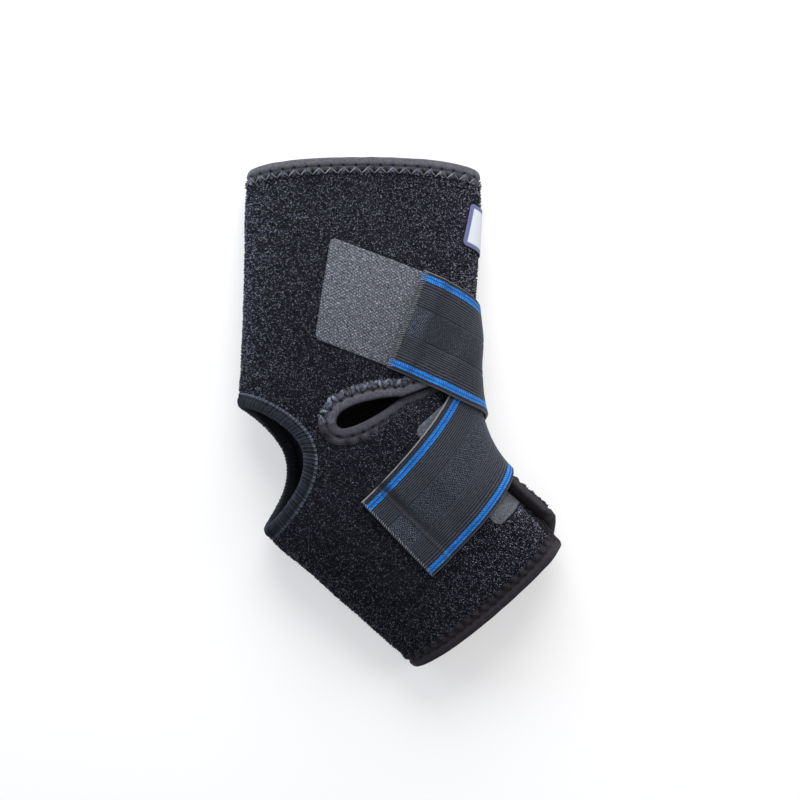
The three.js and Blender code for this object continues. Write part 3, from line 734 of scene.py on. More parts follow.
class Edge:
    """A closed edge of the cloth, which lies on its left."""

    def __init__(self, loop):
        self.u, self.t, self.z = loop
        spots = lifted(self.u, self.t, self.z)
        behind = unit(spots - np.roll(spots, 1, 0))
        ahead = unit(np.roll(spots, -1, 0) - spots)
        forward = behind + ahead
        self.mitre = np.minimum(1.3, 2 / np.maximum(np.linalg.norm(forward, axis=1), 1e-6))
        self.inward = unit(np.cross(outward(self.u, self.t), forward))
        for _ in range(2):
            self.inward = unit(self.inward + 0.5 * (np.roll(self.inward, 1, 0) + np.roll(self.inward, -1, 0)))
        self.run = np.r_[0, np.linalg.norm(np.roll(spots, -1, 0) - spots, axis=1).cumsum()]
        self.length = self.run[-1]

    def point(self, depth, height):
        """Points at a depth in from the edge and a height over the cloth, with the normals there."""
        depth = np.broadcast_to(depth, self.u.shape)
        u, t = walk(self.u, self.t, self.inward, depth * self.mitre)
        n = outward(u, t)
        return skin(u, t) + n * (self.z + height)[:, None], n

    def at(self, run, values):
        """Values round the loop, at a run along it."""
        run = np.asarray(run) % self.length
        closed = np.concatenate([values, values[:1]])
        flat = closed.reshape(len(closed), -1)
        out = np.stack([np.interp(run, self.run, flat[:, k]) for k in range(flat.shape[1])], -1)
        return out.reshape(run.shape + values.shape[1:])

    def rows(self, runs, depths, heights):
        """Points and normals in rows, each with its own runs, depth and height."""
        rows = [self.point(depth, height) for depth, height in zip(depths, heights)]
        return [np.stack([self.at(run, row[k]) for run, row in zip(runs, rows)], 1) for k in (0, 1)]

    def between(self, run, share, low, high, steps, height):
        """Points and normals at runs along the edge and at shares of the way between two depths."""
        points, normals = self.rows([run.ravel()] * steps, np.linspace(low, high, steps), [height] * steps)
        k = np.clip(share.ravel() * (steps - 1), 0, steps - 1.001)
        i = np.floor(k).astype(int)
        f = (k - i)[:, None]
        at = np.arange(run.size)
        spots = points[at, i] * (1 - f) + points[at, i + 1] * f
        return spots.reshape(*run.shape, 3), unit(normals[at, i]).reshape(*run.shape, 3)


EDGES = {"leg": Edge(leg_loop), "heel": Edge(heel_loop), "front": Edge(front_loop)}


# Painted shade: the roll's middle row and the groove get this tone, darker than the roll's top.
ROLL_SHADE = 0.45  # also the shade of the groove


def tape_section(round_=9, flange=TAPE_BAND):
    """Depth, height and painted shade of the tape's section: a soft roll, a groove and a sewn flange. The shade is
    painted light and shade: the roll lightest on top and darkest underneath, the groove and the flange's outer edge
    darker, and the tape's back dark.
    """
    mid = -WALL / 2
    reach = (HIGH + 0.35 - LOW) / 2
    angle = np.linspace(np.pi / 2, -np.pi / 2, round_ + 2)[1:-1]
    roll = [(-(HIGH + 0.15) * np.cos(a) ** 0.6, mid + 0.17 + reach * np.sin(a), ROLL_SHADE + ROLL_SHADE * np.sin(a))
            for a in angle]
    outer = [(flange + 0.5, -0.1, 0.5), (flange + 0.2, 0.35, 0.6), (flange - 0.4, 0.75, 0.8),
             (flange - 1.1, 0.85, 0.8), (4.8, 0.85, 0.8), (3.9, 0.75, 0.6), (3.6, 0.7, 0.45), (3.3, 0.85, 0.6),
             (2.9, 1.15, 0.8), (2.4, 1.42, 0.95), (1.6, 1.55, 1.0), (0.8, 1.5, 1.0), (0.1, 1.42, 0.95)]
    back = ((0.6, LOW), (TAPE_BACK * 0.6, LOW), (TAPE_BACK, LOW + 0.3 * TAPE), (TAPE_BACK, LOW + TAPE))
    inner = [(depth, height, 0.15) for depth, height in back]
    return np.array(outer + roll + inner)


def tape(name, edge, material, node, pitch, puff, flange=TAPE_BAND, tone_at=None):
    section = tape_section(flange=flange)
    count = max(1, round(edge.length / pitch))
    phase = edge.run[:-1] / edge.length * count
    wave = 0.5 + 0.5 * np.cos(2 * np.pi * phase)
    # tone_at gives painted light along the edge: front_level keeps the slit's lips lit and puts the rest of the front
    # edge in painted shade.
    level = tone_at(edge.run[:-1]) if tone_at else np.ones(len(phase))
    shut = ease((tip_lower - edge.t) / 0.03) * (np.abs(edge.u - SLIT_STATION) < 1.5)
    rows, shades, depths = [], [], []
    for depth, height, shade in section:
        on_flange = height > 0 and depth > 4
        on_roll = height > 0.9 and depth < 3.2
        lift = puff * on_flange * wave + 0.10 * on_roll * (2 * wave - 1)
        if height > 0 and puff > 0.1:
            hole = (1 - wave) ** 4 * np.exp(-(((depth - 6) / 0.9) ** 2))
            hole = hole + wave**4 * np.exp(-(((depth - 3.2) / 0.5) ** 2))
            lift = lift - 0.45 * hole
        p, _ = edge.point(depth - 0.4 * shut * (depth < 0.5), height + lift)
        rows.append(p)
        # On a puffed flange the tone goes from 0.4 to 1 with the stitch's wave: painted shade between the puffs.
        shades.append(shade * level * (0.4 + 0.6 * wave if on_flange and puff > 0.1 else 1))
        depths.append(np.full(len(phase), depth if height > 0 else -10.0))
    points = np.stack(rows, 1)
    points = points + 0.12 * noise(points, 5, 3)[..., None] * unit(points - points.mean(1, keepdims=True))
    n, m = points.shape[:2]
    faces = grid_faces(n + 1, m) % (n * m)
    faces = faces[:, ::-1]
    run = np.r_[0, np.linalg.norm(np.diff(section[:, :2], axis=0), axis=1).cumsum()]
    uv = np.stack(np.broadcast_arrays(phase[:, None], run[None]), -1) / WEAVE_SPAN
    shades, depths = np.stack(shades, 1), np.stack(depths, 1)
    make(name, points, faces, [material], node, tone=shades, tint=depths, uv=uv)


# Strips laid over the cloth.
def height_over(spots, places, tops):
    flat = spots.reshape(-1, 3)
    out = np.zeros(len(flat))
    if len(places):
        for k in range(0, len(flat), BATCH):
            d = np.linalg.norm(flat[k : k + BATCH, None] - places[None], axis=-1)
            share = ease(1 - (d - FLAT) / RAMP)
            out[k : k + BATCH] = np.maximum(0, (share * tops[None]).max(1))
    return out.reshape(spots.shape[:-1])


def start_of(key):
    s = STRIPS[key]
    u, t = locate(s["x"], s["y"], s["side"])
    a = math.radians(s["heading"])
    level = np.array([[math.cos(a), math.sin(a), 0]])
    return dict(u=u, t=t, heading=flatten(outward(u, t), level), near=s["near"], bend=s["bend"])


def spine(start, runs):
    """Places and headings along a strip's middle line, for a rising list of runs through 0."""
    def follow(targets):
        u, t, heading, here, out = start["u"], start["t"], start["heading"], 0.0, []
        for target in targets:
            steps = max(1, math.ceil(abs(target - here) / SHEET_STEP))
            pace = (target - here) / steps if target != here else 0.0
            for _ in range(steps):
                if pace == 0:
                    break
                u, t, heading = stride(u, t, heading, pace)
                middle = here + pace / 2
                turn = start["near"] / BEND_FROM if 0 < middle < BEND_FROM else 0
                turn += start["bend"] / (BEND_TO - BEND_FROM) if BEND_FROM < middle < BEND_TO else 0
                turn = math.radians(turn * pace)
                n = outward(u, t)
                heading = heading * math.cos(turn) + np.cross(n, heading) * math.sin(turn)
                here += pace
            out.append((u[0], t[0], *heading[0]))
        return out
    ahead = follow([r for r in runs if r >= 0])
    back = follow([r for r in runs if r < 0][::-1])[::-1]
    rows = np.array(back + ahead)
    return rows[:, 0], rows[:, 1], rows[:, 2:]


def sheet_places(start, runs, asides):
    """Stations and turns of a grid of runs along and distances aside, positive to the left."""
    u, t, heading = spine(start, runs)
    left = np.cross(outward(u, t), heading)
    rows = {0: (u, t)}
    for sign in (1, -1):
        pu, pt, h = u, t, left
        for k in range(1, math.ceil(np.abs(asides).max() / SHEET_STEP) + 1):
            pu, pt, h = stride(pu, pt, h, sign * SHEET_STEP)
            rows[sign * k] = pu, pt
    keys = sorted(rows)
    places = np.array(keys) * SHEET_STEP
    grids = (np.stack([rows[k][axis] for k in keys], 1) for axis in (0, 1))
    return [np.stack([np.interp(asides, places, row) for row in grid]) for grid in grids]


def resample(grid, runs, asides, new_runs, new_asides):
    """Bilinear values of a grid at other runs and distances aside, given as equal shaped arrays."""
    i = np.clip(np.searchsorted(runs, new_runs) - 1, 0, len(runs) - 2)
    j = np.clip(np.searchsorted(asides, new_asides) - 1, 0, len(asides) - 2)
    a = np.clip((new_runs - runs[i]) / (runs[i + 1] - runs[i]), 0, 1)
    b = np.clip((new_asides - asides[j]) / (asides[j + 1] - asides[j]), 0, 1)
    top = grid[i, j] * (1 - b) + grid[i, j + 1] * b
    low = grid[i + 1, j] * (1 - b) + grid[i + 1, j + 1] * b
    return top * (1 - a) + low * a


def blur(grid, times):
    for _ in range(times):
        pad = np.pad(grid, 1, mode="edge")
        grid = (pad[:-2, 1:-1] + pad[2:, 1:-1] + pad[1:-1, :-2] + pad[1:-1, 2:] + 4 * pad[1:-1, 1:-1]) / 8
    return grid


class Strip:
    """A strip laid over the sleeve, with the height of its underside over the skin."""

    def __init__(self, start, low, high, width, places, hugs=False):
        self.runs = np.arange(low, high + SHEET_STEP, SHEET_STEP)
        self.asides = np.linspace(-width / 2, width / 2, max(3, round(width / SHEET_STEP)) + 1)
        self.u, self.t = sheet_places(start, list(self.runs), self.asides)
        self.spots = skin(self.u, self.t)
        normal = outward(self.u, self.t)
        cloth = cloth_layer(self.u, self.t) if hugs else 0 * self.u
        loose = GAP * ease(-cloth / 2) if hugs else FOLD_EASE * (1 - normal[..., 2] ** 2)
        lift = height_over(self.spots, *places)
        if not hugs:
            lift = np.maximum(lift, blur(lift, 6))
            lift = blur(lift, 3)
        self.base = lift + cloth + GAP + loose

    def at(self, runs, asides):
        u = resample(self.u, self.runs, self.asides, runs, asides)
        t = resample(self.t, self.runs, self.asides, runs, asides)
        return u, t, resample(self.base, self.runs, self.asides, runs, asides)

    def point(self, runs, asides, height):
        u, t, base = self.at(runs, asides)
        n = outward(u, t)
        return skin(u, t) + n * (base + height)[..., None], n

    def places(self, thickness):
        return self.spots.reshape(-1, 3), (self.base + thickness).ravel()


def both(*places):
    return np.concatenate([p for p, _ in places]), np.concatenate([h for _, h in places])


def cloth_places():
    spots, tops = [], []
    for key in ("front", "heel"):
        e = EDGES[key]
        spots.append(skin(e.u, e.t)[::2])
        tops.append((e.z + HIGH)[::2])
    spots, tops = np.concatenate(spots), np.concatenate(tops)
    keep = tops > 0
    return spots[keep], tops[keep]


CLOTH = cloth_places()
over_start = start_of("strap_over")
under_start = start_of("strap_under")
label_start = start_of("label_patch")
instep_start = start_of("instep_tab")
under_u, under_t, under_h = spine(under_start, [0, 50, 100, float(STRAP_UNDER_LENGTH)])
under_end = dict(u=under_u[-1:], t=under_t[-1:], heading=under_h[-1:], near=0, bend=0)
over_back = dict(u=over_start["u"], t=over_start["t"], heading=-over_start["heading"], near=0, bend=0)

over_tab = Strip(over_back, -TAB_UNDER, TAB_REACH, STRAP_WIDTH - 1, CLOTH, True)
under_tab = Strip(under_end, -TAB_UNDER, TAB_REACH, STRAP_WIDTH - 1, CLOTH, True)
instep = Strip(instep_start, 0, INSTEP_TAB_REACH, INSTEP_TAB_WIDTH, (np.zeros((0, 3)), np.zeros(0)), True)
label = Strip(label_start, 0, LABEL_LENGTH, LABEL_HEIGHT, (np.zeros((0, 3)), np.zeros(0)))
under_places = both(CLOTH, instep.places(TAB), under_tab.places(TAB))
strap_under = Strip(under_start, 0, STRAP_UNDER_LENGTH, STRAP_WIDTH, under_places)
over_places = both(CLOTH, instep.places(TAB), over_tab.places(TAB), strap_under.places(STRAP))
strap_over = Strip(over_start, 0, STRAP_OVER_LENGTH, STRAP_WIDTH, over_places)


def nearer_edge(asides, low_side, high_side):
    """Distances aside for the weave, with the blue lines moved nearer to the strap's two edges."""
    edge = STRAP_WIDTH / 2 - np.abs(asides)
    move = np.where(asides < 0, low_side, high_side) * ease(edge / 2.4) * (1 - ease((edge - 3) / 8))
    return np.sign(asides) * (np.abs(asides) - move)


def slab(name, strip, runs, asides, top, bottom, material, node, tone=None, tint=None, weave=None,
         coarse=1):
    """A closed thin piece: runs and asides are grids, top and bottom heights over its base."""
    high, _ = strip.point(runs, asides, top)
    low, _ = strip.point(runs, asides, bottom)
    n, m = runs.shape
    upper = grid_faces(n, m)
    index = np.arange(n * m).reshape(n, m)
    fewer = index[np.ix_(np.unique(np.r_[0:n:coarse, n - 1]), np.unique(np.r_[0:m:coarse, m - 1]))]
    lower = fewer.ravel()[grid_faces(*fewer.shape)][:, ::-1] + n * m
    rim = np.concatenate([index[0, :-1], index[:-1, -1], index[-1, ::-1][:-1], index[::-1, 0][:-1]])
    after = np.roll(rim, -1)
    sides = np.stack([rim, rim + n * m, after + n * m, after], -1)
    points = np.concatenate([high.reshape(-1, 3), low.reshape(-1, 3)])
    used, order = np.unique(np.concatenate([upper, lower, sides]), return_inverse=True)
    faces = order.reshape(-1, 4)[:, ::-1]
    uv = np.stack([runs, asides if weave is None else weave], -1).reshape(-1, 2) / WEAVE_SPAN
    uv, tone, tint = (None if values is None else values.reshape(n * m, -1)[used % (n * m)]
                      for values in (uv, tone, tint))
    make(name, points[used], faces, [material], node, tone=tone, tint=tint, uv=uv)


def hem_lift(run, length):
    end = np.minimum(run, length - run)
    dip = -0.30 * np.exp(-(((end - HEM - 2.8) / 2.6) ** 2))
    seam_line = -0.12 * np.exp(-(((end - HEM + 1.3) / 0.6) ** 2))
    return HEM_EXTRA * ease((HEM + 1.4 - end) / 2.2) + dip + seam_line


# Painted shade on the strap's ends: a shadow just past each hem's crease, stronger towards the positive side, and a
# darker line at the fold. Within the hem the middle band is lighter.
def hem_tone(run, aside, length, crease_shadow):
    end = np.minimum(run, length - run)
    drift = noise(np.stack([run, aside, 0 * run], -1), 11, 5)
    slope = 0.60 + 0.40 * aside / (STRAP_WIDTH / 2)
    dark = crease_shadow * 0.97 * np.exp(-(((end - HEM - 1.8 - 0.8 * drift) / 2.6) ** 2)) * slope
    fold = 0.25 * np.exp(-(((end - HEM + 1.0) / 0.8) ** 2))
    fluffy = 0.35 * ease((HEM - 1 - end) / 2) * (np.abs(aside) < MIDDLE_BAND)
    return (1 - np.clip(dark + fold, 0, 0.88)) * (0.74 + 0.07 * drift + fluffy)


def strap_piece(name, strip, length, node, level, middle, crease_shadow, moves):
    fine_hem = np.linspace(HEM - 2.4, HEM + 6.0, 26)
    ends = np.r_[fine_hem, 0.4, 0.8]
    runs = np.unique(np.r_[np.linspace(0, length, round(length / 1.1)), ends, length - ends])
    asides = np.linspace(-STRAP_WIDTH / 2, STRAP_WIDTH / 2, 221)
    r, a = np.meshgrid(runs, asides, indexing="ij")
    rib = 0.07 * np.cos(2 * np.pi * a / RIB) * ease((np.abs(a) - MIDDLE_BAND + 0.4) / 0.8)
    edge = STRAP_WIDTH / 2 - np.abs(a)
    round_ = -0.55 * (1 - np.sqrt(np.clip(edge / 0.8, 0, 1)))
    groove = -0.3 * np.exp(-(((np.abs(a) - MIDDLE_BAND - 0.2) / 0.4) ** 2))
    spots = skin(*strip.at(r, a)[:2])
    wavy = 0.14 * noise(spots, 9, 4) + 0.07 * noise(spots, 1.3, 8) * (np.abs(a) < MIDDLE_BAND)
    top = STRAP + hem_lift(r, length) + rib + round_ + groove + wavy
    end = np.minimum(r, length - r)
    shade = 1 - (1 - middle) * (np.abs(a) < MIDDLE_BAND) * ease((end - HEM + 2) / 8)
    top = top - 0.6 * (1 - np.sqrt(np.clip(end / 0.9, 0, 1)))
    slab(name, strip, r, a, top, 0.05 + 0 * r, WEBBING, node,
         hem_tone(r, a, length, crease_shadow), level * shade, nearer_edge(a, *moves), 6)


def hem_stitches(name, strip, length, pitch, reach, radius, near, bright=1.0):
    """Whipped thread over the strap's end: slanted strokes round the last few millimetres."""
    count = int((STRAP_WIDTH - 3) / pitch)
    chance = np.random.default_rng(len(name))
    last = STRAP_WIDTH / 2 - 1.2
    a = np.linspace(-last, last, count)
    share = np.linspace(0, 1, THREAD_POINTS)[None]
    slant = (chance.random((count, 1)) * 0.6 + 0.5) * pitch
    aside = a[:, None] + slant * (share - 0.5)
    far = reach * (0.8 + 0.4 * chance.random((count, 1)))
    run = 0.15 + far * share
    height = STRAP + HEM_EXTRA + 0.12 - 0.35 * (1 - np.sin(np.pi * (0.15 + 0.75 * share)))
    p, n = strip.point(run if near else length - run, aside, height)
    points, faces = tubes(p, n, radius)
    tone = np.repeat(bright * (0.25 + 0.75 * chance.random(count)), THREAD_POINTS * THREAD_SIDES)
    make(name, points, faces, [HEM_THREAD], tone=tone)


def corner_cut(v, width, radius):
    d = (1 - np.abs(v)) * width / 2
    d = np.clip(d, 0, radius)
    return radius - np.sqrt(radius * radius - (radius - d) ** 2)


def tab_piece(name, strip, width, radius, near, far, node):
    edge = 1 - 2 * radius * (1 - np.cos(np.radians(np.linspace(0, 90, 9)))) / width
    v = np.unique(np.r_[-edge, np.linspace(-edge[-1], edge[-1], 60), edge])
    share = np.r_[0, 0.006, np.linspace(0.02, 0.98, 56), 0.994, 1]
    low, high = near(v), far(v)
    r = low[None] + (high - low)[None] * share[:, None]
    a = np.broadcast_to(v * width / 2, r.shape)
    end = np.minimum(share, 1 - share)[:, None] * (high - low)[None]
    side = (1 - np.abs(v))[None] * width / 2
    drop = 0.35 * (1 - np.sqrt(np.clip(np.minimum(end, side + 0.05) / 0.5, 0, 1)))
    top = TAB - drop + 0.05 * noise(skin(*strip.at(r, a)[:2]), 1.2, 6)
    slab(name, strip, r, a, top, 0 * r, HOOK, node, np.full(r.shape, 0.15 if strip is instep else 1.0))


def hook_far(skew):
    return lambda v: TAB_REACH - TAB_SKEW * (1 + skew * v) / 2 - corner_cut(v, HOOK_WIDTH, TAB_CORNER)


def reach_to_lap(v):
    near, far = np.zeros(len(v)), np.full(len(v), float(INSTEP_TAB_REACH))
    for _ in range(20):
        middle = (near + far) / 2
        _, t, _ = instep.at(middle, v * INSTEP_TAB_WIDTH / 2)
        inside = t < TAB_STOP
        near, far = np.where(inside, middle, near), np.where(inside, far, middle)
    return near


def straps_and_tabs():
    # The last column is level, middle, the crease's shadow and the blue lines' moves. The middle band's darkening is
    # its own colour, but strap_over's lower level and middle paint its webbing darker than strap_under's, which is the
    # same webbing: painted shade.
    straps = (
        ("strap_over", strap_over, STRAP_OVER_LENGTH, (0.9, 2.2, 0.24, True, 0.45), (0.9, 1.6, 0.22, False),
         (0.85, 0.62, 0.35, (1.6, 1.5))),
        ("strap_under", strap_under, STRAP_UNDER_LENGTH, (1.2, 1.3, 0.2, True), (0.9, 2.2, 0.24, False),
         (0.95, 0.94, 1.0, (1.7, 0.2))),
    )
    for name, strip, length, near, far, _ in straps:
        hem_stitches(name + "_near_stitches", strip, length, *near)
        hem_stitches(name + "_far_stitches", strip, length, *far)
    for name, strip, length, _, _, look in straps:
        strap_piece(name + "_web", strip, length, name, *look)
    before = lambda v: np.full(len(v), -float(TAB_UNDER))
    for name, strip, skew in (("strap_over", over_tab, 1), ("strap_under", under_tab, -1)):
        tab_piece(name + "_hook", strip, HOOK_WIDTH, TAB_CORNER, before, hook_far(skew), name + "_tab")
    start = lambda v: corner_cut(v, INSTEP_TAB_WIDTH, INSTEP_CORNER)
    tab_piece("instep_hook", instep, INSTEP_TAB_WIDTH, INSTEP_CORNER, start, reach_to_lap, "instep_tab")
    ends = 1 - 0.2 * np.linspace(0, 1, 9) ** 2
    v = np.unique(np.r_[np.linspace(-1, 1, 45), ends, -ends])
    cut = corner_cut(v, LABEL_HEIGHT, LABEL_CORNER)
    r = cut[None] + (LABEL_LENGTH - 2 * cut)[None] * np.linspace(0, 1, 61)[:, None]
    a = np.broadcast_to(v * LABEL_HEIGHT / 2, r.shape)
    slab("label_cloth", label, r, a, LABEL + 0 * r, 0 * r, LABEL_CLOTH, "label_patch")


# Pile: short dashes of looped yarn over the cloth, each with a tone of its own.
ROOF = np.array([[0, 1, 5], [0, 5, 4], [1, 2, 5], [2, 3, 4], [2, 4, 5], [3, 0, 4]])
TUFT_POINTS = 6


def tufts(root, n, seed, level=1.0, bright=0.37):
    """Points, faces, tone and tint of one dash at each root."""
    m = len(root)
    chance = np.random.default_rng(seed)
    x = unit(np.cross(n, unit(chance.normal(size=(m, 3)))))
    y = np.cross(n, x)
    long = (0.22 + 0.24 * chance.random(m))[:, None]
    wide = (0.14 + 0.09 * chance.random(m))[:, None]
    height = (0.40 + 0.60 * chance.random(m))[:, None]
    slip = x * (chance.normal(size=m) * 0.10)[:, None] + y * (chance.normal(size=m) * 0.10)[:, None]
    corners = [root + x * long * a + y * wide * b - n * 0.15 for a, b in ((-1, -1), (1, -1), (1, 1), (-1, 1))]
    ridge = [root + slip + x * long * a + n * (height + tip * 0.1) for a, tip in ((-0.65, 1), (0.65, -1))]
    points = np.stack(corners + ridge, 1).reshape(-1, 3)
    faces = (ROOF[None] + (np.arange(m) * TUFT_POINTS)[:, None, None]).reshape(-1, 3)
    light = chance.random(m) < bright
    tone = np.where(light, 0.60 + 0.45 * chance.random(m), 0.05 + 0.40 * chance.random(m)) * level
    # The four base corners of each dash get 0.55 of its tone: painted shade at its foot.
    tone = np.repeat(tone, TUFT_POINTS) * np.tile([0.55, 0.55, 0.55, 0.55, 1, 1], m)
    return points, faces, tone, np.repeat(chance.random(m) ** 2 * 0.7, TUFT_POINTS)


def pile_level(root):
    """Painted light: the pile's tone is a little higher up the leg and over the instep on the foot's right than at the
    heel and sole.
    """
    x, y = root[:, 0], root[:, 1]
    up = np.interp(y, [-100, -56, 0, 76], [0.88, 0.91, 1.0, 1.07])
    return up + np.interp(x, [-30, 8, 30], [0, 0.22, 0.26]) * ease((-20 - y) / 20)


def pile(name, grids, seed, step, near, first=0.0, last=99.0):
    u, t, z = grids
    centre_u = (u[1:, 1:] + u[:-1, :-1]) / 2
    centre_t = (t[1:, 1:] + t[:-1, :-1]) / 2
    area = per_station(centre_u, centre_t) * np.abs(u[1:, 1:] - u[1:, :-1])
    area = area * per_turn(centre_u, centre_t) * np.abs(t[1:, 1:] - t[:-1, 1:])
    area = np.where(((centre_t > 0) == near) & (centre_u >= first) & (centre_u < last), area, 0)
    chance = np.random.default_rng(seed)
    count = chance.poisson(area / step**2)
    i, j = np.nonzero(count)
    i, j = np.repeat(i, count[i, j]), np.repeat(j, count[i, j])
    a, b = chance.random(len(i)), chance.random(len(i))

    def mixed(g):
        left, right = (g[i, k] * (1 - a) + g[i + 1, k] * a for k in (j, j + 1))
        return left * (1 - b) + right * b

    pu, pt, pz = mixed(u), mixed(t), mixed(z)
    root, n = wall_points(pu, pt, pz, 0), outward(pu, pt)
    keep = ~covered(root)
    points, faces, tone, tint = tufts(root[keep], n[keep], seed + 1, pile_level(root[keep]))
    make(name, points, faces, [PILE], tone=tone, tint=tint)


def edge_pile(name, edge, low, high, pitch, puff, step, seed, level_at):
    """Pile that reaches over the sewn flange of a tape, between its stitches."""
    chance = np.random.default_rng(seed)
    count = int(edge.length * (high - low) / step**2)
    run = chance.random(count) * edge.length
    share = chance.random(count)
    stitches = max(1, round(edge.length / pitch))
    wave = 0.5 + 0.5 * np.cos(2 * np.pi * run / edge.length * stitches)
    level = level_at(run)
    keep = chance.random(count) < np.clip(level * 1.6, 0, 1) * (0.35 + 0.65 * np.maximum(wave, share))
    run, share, wave, level = run[keep], share[keep], wave[keep], level[keep]
    root, n = edge.between(run, share, low, high, 6, 0.7)
    root = root + n * (puff * wave * (1 - share**3) - 0.1)[:, None]
    points, faces, tone, tint = tufts(root, n, seed + 1, 1.0, 0.8)
    # Painted light and shade: the level from level_at, and darker pile between the puffs than on them.
    tone = tone * np.repeat(np.clip(0.42 + 0.75 * level * wave, 0, 1.15), TUFT_POINTS)
    make(name, points, faces, [PILE], tone=tone, tint=tint * 0.4)


def covering_tree():
    spots = []
    for key in EDGES:
        for depth in (0.3, 1.3, 2.3, 3.3, 4.3, *((4.8,) if key == "heel" else (5.2, 6.0))):
            spots.append(EDGES[key].point(depth, 0)[0])
    for strip, far in ((strap_over, STRAP_OVER_LENGTH), (strap_under, STRAP_UNDER_LENGTH), (label, LABEL_LENGTH)):
        spots.append(strip.spots[(strip.runs >= 0) & (strip.runs <= far)].reshape(-1, 3))
    for strip, far, width in ((over_tab, hook_far(1), HOOK_WIDTH), (under_tab, hook_far(-1), HOOK_WIDTH),
                              (instep, reach_to_lap, INSTEP_TAB_WIDTH)):
        v = strip.asides / (width / 2)
        r = strip.runs[:, None]
        if strip is instep:
            inside = (r < far(v) + 1) & (r > corner_cut(v, width, INSTEP_CORNER) + 0.6)
        else:
            inside = r < far(v) - 0.6
        spots.append(lifted(strip.u, strip.t, cloth_layer(strip.u, strip.t))[inside])
    spots = np.concatenate(spots)
    tree = kdtree.KDTree(len(spots))
    for k, p in enumerate(spots):
        tree.insert(p, k)
    tree.balance()
    return tree


TREE = covering_tree()


def covered(points):
    return np.array([TREE.find(p)[2] < COVER_REACH for p in points])


# Stitches.
THREAD_POINTS, STROKE_POINTS, LOBE_POINTS, LOBE_SIDES = 6, 7, 9, 8
def zigzag(name, edge, low, high, pitch, thin, fat, height, bright, dim):
    """Thread between two rows of needle holes: a crisp stroke and a soft one in turn."""
    count = max(1, round(edge.length / pitch))
    pitch = edge.length / count
    strokes = 2 * count
    start = (np.arange(strokes) * pitch / 2)[:, None]
    share = np.linspace(0, 1, STROKE_POINTS)[None]
    run = start + share * pitch / 2
    down = (np.arange(strokes) % 2 == 0)[:, None]
    depth = np.where(down, low + (high - low) * share, high - (high - low) * share)
    path, normal = edge.between(run, (depth - low) / (high - low), low, high, 9, height)
    path = path + normal * (np.sin(np.pi * share)[..., None] * 0.35 - 0.1)
    chance = np.random.default_rng(len(name))
    points, faces = tubes(path, normal, np.where(down, thin, fat) + 0 * share)
    tone = np.where(down[:, 0], bright, dim) * (0.7 + 0.5 * chance.random(strokes))
    make(name, points, faces, [SEAM_THREAD], tone=np.repeat(tone, STROKE_POINTS * THREAD_SIDES))


def lobes(name, edge, low, high, pitch, radius, height, level_at, least):
    """Stuffed folds between the stitches of the slit's lips: two slanted lobes to a stitch."""
    count = max(1, round(edge.length / pitch))
    pitch = edge.length / count
    chance = np.random.default_rng(31)
    start = np.concatenate([(np.arange(count) + 0.22) * pitch, (np.arange(count) + 0.68) * pitch])
    level = level_at(start)
    first = np.arange(2 * count) < count
    start, level, first = start[level > least], level[level > least], first[level > least]
    share = np.linspace(0, 1, LOBE_POINTS)[None]
    lean = np.where(first, 2.2, -0.8) + 0.6 * chance.normal(size=len(start))
    run = start[:, None] + (share - 0.4) * lean[:, None]
    path, normal = edge.rows(run.T, np.linspace(low, high, LOBE_POINTS), [height] * LOBE_POINTS)
    normal = unit(normal)
    thick = radius * np.sin(np.pi * (0.12 + 0.76 * share)) * np.where(first, 1.0, 0.8)[:, None]
    points, faces = tubes(path, normal, thick * (0.9 + 0.2 * chance.random((len(start), 1))), LOBE_SIDES, False)
    points = points + 0.10 * noise(points, 0.7, 9)[:, None] * np.repeat(normal.reshape(-1, 3), LOBE_SIDES, 0)
    speck = chance.random(len(points))
    # The tone follows level_at, which is painted light: the lobes nearest the slit along the upper lip are lightest.
    tone = np.repeat(level * (0.75 + 0.25 * chance.random(len(start))), LOBE_POINTS * LOBE_SIDES)
    tint = 0.25 * chance.random(len(points))
    make(name, points, faces, [PILE], tone=tone * (0.54 + 0.42 * speck), tint=tint)


def overlock(name, edge, pitch, radius):
    """Threads wrapped round the edge. Their tone is painted light and shade: brightest where they enter the cloth, dim
    over the roll and near black on the inner side.
    """
    count = int(edge.length / pitch)
    chance = np.random.default_rng(5)
    run = (np.arange(count) + 0.35 * (chance.random(count) - 0.5)) * edge.length / count
    section = tape_section(7, HEEL_BAND)
    section = section[section[:, 2] != ROLL_SHADE]
    depth, height = section[:, 0], section[:, 1]
    reach = 0.5 * (chance.random(count) - 0.5)
    lean = np.where(height > 0, 0.25 * (depth - 1), 0)
    paths, _ = edge.rows(run + lean[:, None], depth, height)
    paths[:, 0] += (paths[:, 0] - paths[:, 2]) * reach[:, None]
    middle = edge.at(run, edge.point(2.0, -WALL / 2)[0])[:, None]
    out = unit(paths - middle)
    paths = paths + out * (0.02 + 0.12 * chance.random((count, 1, 1)))
    odd = (np.arange(count) % 2)[:, None]
    points, faces = tubes(paths, out, radius * (0.7 + 0.5 * chance.random((count, 1)) + 0.5 * odd))
    level = np.where(height > 0, 0.10 + 0.70 * np.clip((depth - 3.9) / 0.8, 0, 1), 0.05)
    level = np.where((height > -0.5) & (depth < 0.2), 0.16, level)
    level = np.where(height < -2.2, 0.01, level)
    tone = level[None] * (0.25 + 1.0 * chance.random((count, 1)) + 0.45 * odd)
    make(name, points, faces, [HEEL_THREAD], tone=np.repeat(tone.ravel(), THREAD_SIDES))


